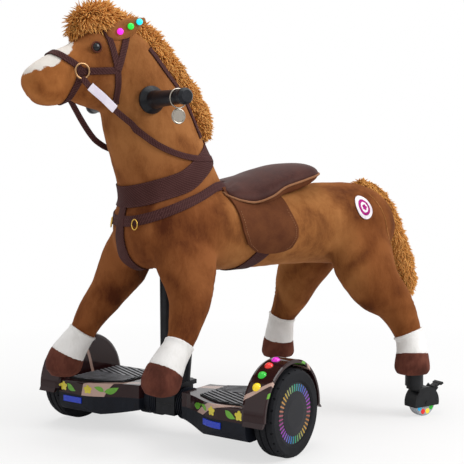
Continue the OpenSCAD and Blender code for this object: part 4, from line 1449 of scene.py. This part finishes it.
@dataclass
class Tack:
    """Bridle, reins, breast collar, breast strap and girth, all of woven strap, with their rings and tag."""

    coat: BVHTree
    bridle_mm: float = 13.0
    rein_mm: float = 12.0
    tag_mm: float = 17.0
    thick_mm: float = 2.4
    edge_mm: float = 0.5
    chest_rows: int = 22
    chest_half_mm: float = 13.0
    chest_widen_mm: float = 15.0
    ring_half_mm: tuple[float, float] = (7.0, 10.0)
    ring_wire_mm: float = 1.3

    def build(self) -> None:
        """Makes all the straps."""
        cheek = (-156.0, 220.0)
        ring = (-226.0, 216.0)
        bridle = (
            Strap(((-252.0, 240.0), ring, (-237.0, 176.0)), self.bridle_mm, True, True),
            Strap((ring, (-190.0, 218.0), cheek), self.bridle_mm),
            Strap((cheek, (-152.0, 190.0), (-149.0, 158.0)), self.bridle_mm),
            Strap((cheek, (-161.0, 250.0), (-167.0, 290.0)), self.bridle_mm, last=True, lift_mm=2.6),
            Strap((cheek, (-142.0, 255.0), (-127.0, 290.0)), self.bridle_mm, last=True, lift_mm=3.2),
        )
        collar = Strap(((-70.0, -6.0), (-24.0, 10.0), (14.0, 35.0), (40.0, 54.0)), 43.0, True, True, across=9)
        crest = Strap(((-76.0, 268.0), (-42.0, 226.0), (-4.0, 183.0), (18.0, 140.0), (36.0, 96.0)), 11.0)
        breast = Strap(((-80.0, -54.0), (-67.0, -49.0), (1.0, -23.0), (54.0, -3.0), (96.0, -2.0)), 18.0, True)
        girth = Strap(((178.0, -112.0), (164.0, -132.0), (151.0, -152.0)), 32.0, last=True, across=7)
        self.straps("bridle_straps", bridle, STRAP, ("bridle",))
        self.straps("breast_collar_band", (collar,), COLLAR, ("breast_collar",))
        self.straps("crest_band", (crest,), STRAP, ())
        self.straps("breast_strap_band", (breast,), STRAP, ("breast_strap",))
        self.straps("girth_band", (girth,), COLLAR, ("girth",))
        self.chest()
        self.chest_rings()
        self.reins()

    def sew(self, name: str, bm: Mesh, finish: Finish, nodes: tuple[str, ...] = ()) -> None:
        """Makes a padded piece out of a sheet of strap."""
        solid = thicken(bm, self.thick_mm, self.edge_mm)
        present(name, solid, (finish,), Body.HORSE, nodes)

    def straps(self, name: str, group: Sequence[Strap], finish: Finish, nodes: tuple[str, ...]) -> None:
        """Makes one piece out of several straps.

        Args:
            name: Name of the piece.
            group: The straps.
            finish: Finish of the straps.
            nodes: CAD nodes that it stands for.
        """
        bm = bmesh.new()
        for strap in group:
            strap.add_to(bm, self.coat)
        settle(bm, self.coat, self.thick_mm / 2.0 + 0.4, 3)
        self.sew(name, bm, finish, nodes)

    def chest(self) -> None:
        """Strap that widens down the chest and under it."""
        rows = []
        for k in range(self.chest_rows):
            share = k / (self.chest_rows - 1)
            turn = math.radians(-33.0 + 108.0 * share)
            aim = Vector((-math.cos(turn), 0.0, -math.sin(turn)))
            half = self.chest_half_mm + self.chest_widen_mm * share**1.5
            starts = [at(-40.0, half * (j / 3 - 1.0), BACK - 90.0) for j in range(7)]
            rows.append([cast(self.coat, start, aim, 2.2, start) for start in starts])
        bm = bmesh.new()
        weave(bm, rows)
        settle(bm, self.coat, 2.6, 2)
        self.sew("chest_strap", bm, COLLAR)

    def chest_rings(self) -> None:
        """Brass ring where the straps meet on each side."""
        wide, high = self.ring_half_mm
        rings = bmesh.new()
        for s in SIDES:
            aim = Vector((-0.45, s, 0.0)).normalized()
            hit, outward, _, _ = self.coat.ray_cast(at(-92.0, 0.0, BACK - 74.0), aim)
            side = outward.cross(Z_AXIS).normalized()
            rise = side.cross(outward)
            loop = [hit + outward * 4.4 * MM + (side * math.cos(a) * wide + rise * math.sin(a) * high) * MM
                    for a in angles(28)]
            tube(rings, loop, self.ring_wire_mm)
        present("chest_rings", rings, (BRASS,), Body.HORSE)

    def reins(self) -> None:
        """Reins from the rings to the neck and round behind it, the right one slack, with a blank tag."""
        lines = (((-115.0, 110.0), (-80.0, 82.0), (-42.0, 64.0), (-3.0, 55.0), (30.0, 54.0)),
                 ((-124.0, 76.0), (-90.0, 70.0), (-46.0, 62.0), (-3.0, 55.0), (30.0, 54.0)))
        runs = [Strap(line, self.rein_mm, last=True, lift_mm=3.0).rows(self.coat)[0][0] for line in lines]
        half = len(runs[0]) // 2
        run = runs[0][:half] + runs[1][half:]
        left_end, right_end = run[0][2], run[-1][2]
        left = curve([at(-227.0, -53.0, BACK + 204.0), at(-214.0, -57.0, BACK + 188.0),
                      at(-187.0, -58.0, BACK + 167.0), at(-158.0, -55.0, BACK + 144.0),
                      left_end + Vector((-0.012, -0.006, 0.010))], 8)
        right = curve([at(-227.0, 53.0, BACK + 204.0), at(-206.0, 47.0, BACK + 168.0),
                       at(-180.0, 45.0, BACK + 124.0), at(-158.0, 43.0, BACK + 94.0),
                       right_end + Vector((-0.008, 0.003, 0.004))], 8)
        near = ribbon(left, self.rein_mm)
        far = ribbon(right, self.rein_mm, 70.0)
        for part, meet in ((near, run[0]), (far, run[-1])):
            if (part[-1][-1] - part[-1][0]).dot(meet[-1] - meet[0]) < 0.0:
                for row in part:
                    row.reverse()
        bm = bmesh.new()
        weave(bm, near + run + far[::-1])
        self.sew("rein_straps", bm, STRAP, ("reins",))
        tag = bmesh.new()
        weave(tag, ribbon([p + Vector((0.0, -2.6 * MM, 0.0)) for p in left[8:24]], self.tag_mm))
        present("rein_tag", thicken(tag, 1.2, 0.3), (TAG,), Body.HORSE)


@dataclass
class Saddle:
    """Padded vinyl seat with piping, and a suede flap on each flank."""

    coat: BVHTree
    piping_mm: float = 2.3
    flap_mm: float = 4.2
    swell_mm: float = 5.0
    pressure: float = 4.0
    sewn_slope: float = 0.12
    stitch_in_mm: float = 7.0
    thread_mm: float = 0.7

    def build(self) -> None:
        """Makes the seat, its piping, the flaps and their stitching."""
        bm = bmesh.new()
        Loft(SEAT_FORM, 36, 4, grow=-1.5).add_to(bm)
        body = bmesh.new()
        Loft(TORSO, 36, 3, grow=1.5).add_to(body)
        bm = remesh(carve(bm, body), 4.0, 4)
        bm.normal_update()
        swell(bm, lambda v: v.normal.z < self.sewn_slope, self.pressure, self.swell_mm)
        relax(bm, bm.verts, 0.4)
        ripple(bm, 0.8, 46.0, 1.3)
        bm.normal_update()
        for face in bm.faces:
            face.material_index = 1 if face.normal.z < -0.3 else 0
        present("saddle_pad", bm, (SEAT, SUEDE), Body.HORSE, ("saddle_seat",))
        self.piping()
        self.flaps()

    def piping(self) -> None:
        """Tan cord round the seat's lower edge."""
        rim = math.radians(-5.0)
        path = Loft(SEAT_FORM, 36, 5).path()[2:]
        sides = []
        for s in SIDES:
            line = []
            for x, _, z, high, wide in path:
                spot = at(x, s * wide * math.cos(rim), z + high * math.sin(rim))
                near, outward, short = clear_of(self.coat, spot, self.piping_mm)
                line.append(spot if short < 0.0 else near + outward * self.piping_mm * MM)
            sides.append(line)
        back_end = (sides[0][-1] + sides[1][-1]) / 2.0 + Vector((2.5 * MM, 0.0, 0.0))
        loop = sides[0] + [back_end] + sides[1][::-1]
        bm = bmesh.new()
        tube(bm, curve(loop + loop[:1], 2), self.piping_mm, 10)
        present("saddle_piping", bm, (PIPING,), Body.HORSE)

    def flaps(self) -> None:
        """Suede flaps drawn by their front and rear edges at each height, laid on the flanks."""
        front = ((-6, 71), (-50, 86), (-92, 97), (-118, 112), (-133, 136), (-139, 166))
        rear = ((-6, 214), (-20, 214), (-56, 222), (-88, 236), (-108, 238), (-130, 228), (-136, 212),
                (-139, 190))
        bm, seams = bmesh.new(), bmesh.new()
        levels = [-6.0 - 133.0 * math.sin(0.5 * math.pi * k / 36) for k in range(37)]
        for s in SIDES:
            rows = []
            for z in levels:
                a, b = edge_at(front, z), edge_at(rear, z)
                rows.append([self.land(a + (b - a) * j / 28, z, s) for j in range(29)])
            weave(bm, rows)
            for edge, inward in ((front, self.stitch_in_mm), (rear, -self.stitch_in_mm)):
                self.stitches(seams, [(edge_at(edge, z) + inward, z) for z in levels[8:30]], s)
        settle(bm, self.coat, self.flap_mm / 2.0 + 0.4, 2)
        flaps = present("saddle_flap_pair", thicken(bm, self.flap_mm, 1.3), (SUEDE,), Body.HORSE,
                        ("saddle_flaps",))
        present("flap_stitches", seams, (PIPING,), Body.HORSE)

    def land(self, x: float, z: float, s: float) -> Vector:
        """Point on a flank, a flap's half thickness off the coat."""
        start = at(x, 0.0, BACK + z)
        return cast(self.coat, start, Y_AXIS * s, self.flap_mm / 2.0 + 0.4, start)

    def stitches(self, bm: Mesh, line: Sequence[tuple[float, float]], s: float) -> None:
        """Short thread stitches along a line on the flap's face.

        Args:
            bm: Mesh to add to.
            line: x and height over the back of each point.
            s: Sign of the side.
        """
        rise = Y_AXIS * s * (self.flap_mm / 2.0 + 0.2) * MM
        path = curve([self.land(x, z, s) + rise for x, z in line], 2)
        for a, b in zip(path[::2], path[1::2]):
            tube(bm, [a, a.lerp(b, 0.5) + Y_AXIS * s * 0.3 * MM, b], self.thread_mm, 6)


def edge_at(edge: Sequence[tuple[float, float]], z: float) -> float:
    """x of an edge at a height.

    Args:
        edge: Heights, falling, and the x at each.
        z: The height.

    Returns:
        The x there.
    """
    for (z0, x0), (z1, x1) in zip(edge, edge[1:]):
        if z >= z1:
            return x0 + (x1 - x0) * (z0 - z) / (z0 - z1)
    return edge[-1][1]


@dataclass(frozen=True)
class Motif:
    """A flat shape thrown onto a surface: a disc whose points are moved by a rule."""

    shape: Callable[[float, float], tuple[float, float]]
    size_mm: float
    turn_deg: float = 0.0
    lift_mm: float = 0.35

    def add_to(self, bm: Mesh, surface: BVHTree, spot: Vector, aim: Vector) -> None:
        """Adds the shape around the place where a ray from outside meets the surface.

        Args:
            bm: Mesh to add to.
            surface: Surface that carries it.
            spot: Start of the ray.
            aim: Direction of the ray.
        """
        side = aim.cross(Z_AXIS).normalized()
        rise = side.cross(aim)
        verts = bmesh.ops.create_grid(bm, x_segments=14, y_segments=14, size=1.0)["verts"]
        c, s = math.cos(math.radians(self.turn_deg)), math.sin(math.radians(self.turn_deg))
        lost = []
        for v in verts:
            x, y = v.co.x * math.sqrt(1.0 - v.co.y**2 / 2.0), v.co.y * math.sqrt(1.0 - v.co.x**2 / 2.0)
            x, y = self.shape(x, y)
            start = spot + (side * (x * c - y * s) + rise * (x * s + y * c)) * self.size_mm * MM
            hit, outward, _, _ = surface.ray_cast(start, aim, 0.5)
            if hit is None:
                lost.append(v)
            else:
                v.co = hit + (outward if outward.dot(aim) < 0.0 else -outward) * self.lift_mm * MM
        bmesh.ops.delete(bm, geom=lost, context="VERTS")


def flower(x: float, y: float) -> tuple[float, float]:
    """Five round petals."""
    share = 0.66 + 0.34 * abs(math.cos(2.5 * math.atan2(y, x)))
    return x * share, y * share


def leaf(x: float, y: float) -> tuple[float, float]:
    """A pointed leaf, bent a little."""
    return x, 0.42 * y * (1.0 - 0.35 * x) * max(1.0 - abs(x) ** 3, 0.02) + 0.18 * x * x


def oval(x: float, y: float) -> tuple[float, float]:
    """An upright oval."""
    return 0.87 * x, y


def skin_of(node: str) -> BVHTree:
    """Surface of a CAD node, in the row frame.

    Args:
        node: Name of the node.

    Returns:
        The surface.
    """
    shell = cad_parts[node]
    bm = bmesh.new()
    bm.from_mesh(shell.data)
    bm.transform(shell.matrix_world)
    tree = BVHTree.FromBMesh(bm)
    bm.free()
    return tree


@dataclass
class Trims:
    """Prints on the board, the patch on the rump and the lights in the caster wheels."""

    coat: BVHTree
    light_mm: float = 6.2
    light_out_mm: float = 21.0
    guard_mm: float = 99.0

    def build(self) -> None:
        """Makes all the trims."""
        self.patch()
        self.prints(Body.LEFT_BOARD, "left_upper_shell", Side.LEFT.value)
        self.prints(Body.RIGHT_BOARD, "right_upper_shell", Side.RIGHT.value)
        self.caster_lights(Body.LEFT_ROLLER, "left_caster_wheel")
        self.caster_lights(Body.RIGHT_ROLLER, "right_caster_wheel")

    def patch(self) -> None:
        """White felt oval with a plain ring and a flower sewn on it, on the left of the rump."""
        layers = (("rump_patch", Motif(oval, 25.0, lift_mm=1.6), 1.2, 0.3, PATCH_RIM),
                  ("rump_patch_disc", Motif(oval, 17.0, lift_mm=2.4), 0.8, 0.2, PATCH_RING),
                  ("rump_patch_middle", Motif(oval, 11.0, lift_mm=2.9), 0.8, 0.2, PATCH_RIM),
                  ("rump_patch_flower", Motif(flower, 6.5, lift_mm=3.4), 0.8, 0.2, PATCH_RING))
        for name, motif, thick, edge, finish in layers:
            bm = bmesh.new()
            motif.add_to(bm, self.coat, at(425.0, -250.0, 464.0), Y_AXIS)
            present(name, thicken(bm, thick, edge), (finish,), Body.HORSE)

    def prints(self, body: Body, node: str, side: float) -> None:
        """Leaves and flowers printed on a half board's front and mudguard.

        Args:
            body: The half board.
            node: CAD node that carries the prints.
            side: Sign of its side.
        """
        shell = skin_of(node)
        front = Vector((math.cos(STEER), math.sin(STEER), 0.0))
        outer = Vector((math.sin(STEER), -math.cos(STEER), 0.0)) * side
        yellow, green = bmesh.new(), bmesh.new()
        leaves = ((112.0, 89.0, 15.0, 20.0), (136.0, 93.0, 11.0, 155.0), (205.0, 88.0, 14.0, -30.0))
        for y, z, size, turn in leaves:
            Motif(leaf, size, turn).add_to(green, shell, on_board(-260.0, side * y, z), front)
        for y, z, size in ((160.0, 90.0, 9.5), (226.0, 90.0, 10.0)):
            Motif(flower, size, 18.0).add_to(yellow, shell, on_board(-260.0, side * y, z), front)
        for degrees, size, turn in ((112.0, 14.0, 30.0), (30.0, 10.0, 200.0)):
            a = math.radians(degrees)
            spot = on_board(-self.guard_mm * math.cos(a), side * 420.0, AXLE_Z + self.guard_mm * math.sin(a))
            Motif(leaf, size, turn).add_to(green, shell, spot, outer)
        for group, finish, word in ((green, LEAF, "leaves"), (yellow, PETAL, "flowers")):
            bmesh.ops.recalc_face_normals(group, faces=group.faces)
            present(f"{body.value}_print_{word}", group, (finish,), body)

    def caster_lights(self, body: Body, node: str) -> None:
        """Five coloured lights set flat into each face of a caster wheel, four of them low at rest.

        Args:
            body: The caster's roller.
            node: CAD node of its wheel.
        """
        low, high = (Vector(corner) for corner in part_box(node))
        middle = (low + high) / 2.0
        colours = (("cyan", "#1396C4", 212.0), ("red", "#C8180F", 249.0), ("yellow", "#DCC630", 287.0),
                   ("green", "#0C9A1C", 325.0), ("blue", "#1A4FD8", 90.0))
        for word, code, degrees in colours:
            a = math.radians(degrees)
            out = Vector((math.cos(a), 0.0, math.sin(a))) * self.light_out_mm * MM
            bm = bmesh.new()
            for s in SIDES:
                face = Vector((0.0, s * (high.y - low.y) / 2.0, 0.0))
                flat = Matrix.Translation(middle + out + face) @ Matrix.Diagonal((1.0, 0.12, 1.0, 1.0))
                bmesh.ops.create_uvsphere(bm, u_segments=16, v_segments=8, radius=self.light_mm * MM,
                                          matrix=flat)
            present(f"{body.value}_light_{word}", bm, (Lamp(f"caster_led_{word}", code, 0.5),), body)


@dataclass
class Studio:
    """Camera at the photograph's place, a pale floor and soft light."""

    eye: Row = (-1029.8, -1771.1, 555.0)
    ahead: Row = (0.5519, 0.8339, 0.0)
    tilt_deg: float = 3.753
    focal_px: float = 1000.0
    floor_half: float = 9.0
    lamp_target: Row = (0.0, 0.0, 0.42)

    def build(self) -> None:
        """Sets up the camera, the floor, the lamps and the colour transform."""
        scene = bpy.context.scene
        lens = bpy.data.cameras.new("photo_camera")
        lens.sensor_width = 36.0
        lens.lens = self.focal_px * lens.sensor_width / IMAGE_SIDE
        camera = bpy.data.objects.new("photo_camera", lens)
        scene.collection.objects.link(camera)
        camera.location = at(*self.eye)
        look = Vector(self.ahead).normalized() - Z_AXIS * math.tan(math.radians(self.tilt_deg))
        camera.rotation_euler = look.to_track_quat("-Z", "Y").to_euler()
        scene.camera = camera
        scene.view_settings.view_transform = "Standard"
        self.floor()
        self.lamp("key", (1.7, -2.4, 2.5), 2.0, 80.0)
        self.lamp("top", (-0.2, 0.4, 3.2), 2.6, 46.0)
        self.lamp("fill", (-2.9, -0.4, 1.5), 2.4, 7.0)
        scene.world = self.sky()

    def sky(self) -> bpy.types.World:
        """White surroundings that light the scene less than they show.

        Returns:
            The world.
        """
        world = bpy.data.worlds.new("studio")
        world.use_nodes = True
        tree = world.node_tree
        tree.nodes.clear()
        path = add(tree, "LightPath", {}).outputs
        seen = calc(tree, "MAXIMUM", path["Is Camera Ray"], path["Is Glossy Ray"])
        seen = calc(tree, "MAXIMUM", seen, path["Is Transmission Ray"])
        light = {"Color": linear("#FFFFFF"), "Strength": span(tree, seen, 0.0, 1.0, 0.4, 1.0)}
        add(tree, "OutputWorld", {"Surface": add(tree, "Background", light).outputs["Background"]})
        return world

    def floor(self) -> None:
        """Large pale floor that fades into the background and keeps the shadow."""
        bm = bmesh.new()
        bmesh.ops.create_grid(bm, x_segments=2, y_segments=2, size=self.floor_half)
        floor = stand("studio_floor", bm)
        bm.free()
        paper = bpy.data.materials.new("white_paper")
        paper.use_nodes = True
        tree = paper.node_tree
        tree.nodes.clear()
        away = add(tree, "VectorMath", {0: place(tree)}, operation="LENGTH").outputs["Value"]
        white = span(tree, away, 0.45, 1.5, 0.66, 1.0)
        seen = add(tree, "LightPath", {}).outputs["Is Camera Ray"]
        matt = add(tree, "BsdfDiffuse", {"Color": linear("#F2F1F0")})
        bright = add(tree, "Emission", {"Color": linear("#FFFFFF"), "Strength": 1.0})
        both = add(tree, "MixShader", {0: calc(tree, "MULTIPLY", seen, white), 1: matt.outputs[0],
                                       2: bright.outputs[0]})
        add(tree, "OutputMaterial", {"Surface": both.outputs[0]})
        floor.data.materials.append(paper)

    def lamp(self, name: str, spot: Row, size: float, power: float) -> None:
        """Adds one square area lamp aimed at the horse's shoulder.

        Args:
            name: Name of the lamp.
            spot: Its place.
            size: Its side.
            power: Its power in watts.
        """
        light = bpy.data.lights.new(name, "AREA")
        light.size = size
        light.energy = power
        lamp = bpy.data.objects.new(name, light)
        bpy.context.scene.collection.objects.link(lamp)
        lamp.location = spot
        lamp.rotation_euler = (Vector(self.lamp_target) - Vector(spot)).to_track_quat("-Z", "Y").to_euler()


def dress_frame() -> None:
    """Finishes of the CAD nodes that stay."""
    paired = ((GLOSS, "upper_shell"), (MATT, "lower_shell"), (TYRE, "tyre"), (HUB, "hub"), (ZINC, "axle"),
              (GRIP, "grip"), (CASTER, "caster_fork"), (CASTER, "caster_brake"), (LAMPS, "lamps"),
              (ROLLER, "caster_wheel"))
    for side in Side:
        word = side.name.lower()
        for finish, node in paired:
            dress(finish, f"{word}_{node}")
        dress(RibbedPad(f"silicone_pad_{word}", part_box(f"{word}_foot_pad")[1][2]), f"{word}_foot_pad")
        dress(TickRing(f"tick_ring_{word}", side.value), f"{word}_light_ring")
    dress(FORK, "front_fork", "clamp_cap", "steel_frame", "handlebar")
    dress(CASTER, "caster_sockets")
    dress(ZINC, "clamp_bolts", "pivot_tube", "power_button")
    dress(CHROME, "key_ring")
    dress(BRONZE, "tack_rings")
    dress(BRASS, "steering_bushes")
    dress(BATTERY, "battery_pack")
    dress(CIRCUIT, "control_board")


def main() -> None:
    """Builds the model in order and reports each piece."""
    logging.basicConfig(level=logging.INFO, format="%(name)s %(message)s")
    Studio().build()
    dress_frame()
    coat = PlushBody().build()
    mane = Tufts(coat, "mane_fur", (MANE, FORELOCK), ("mane",), Vector((0.25, 0.0, -0.5)), seed=11,
                 plume_x=at(-100.0, 0.0, 0.0).x)
    tail = Tufts(coat, "tail_fur", (TAIL,), ("tail",), Vector((0.1, 0.0, -0.7)), length_mm=11.0, seed=23)
    for assembly in (Tack(coat), Saddle(coat), Trims(coat), mane, tail):
        assembly.build()


if __name__ == "__main__":
    main()
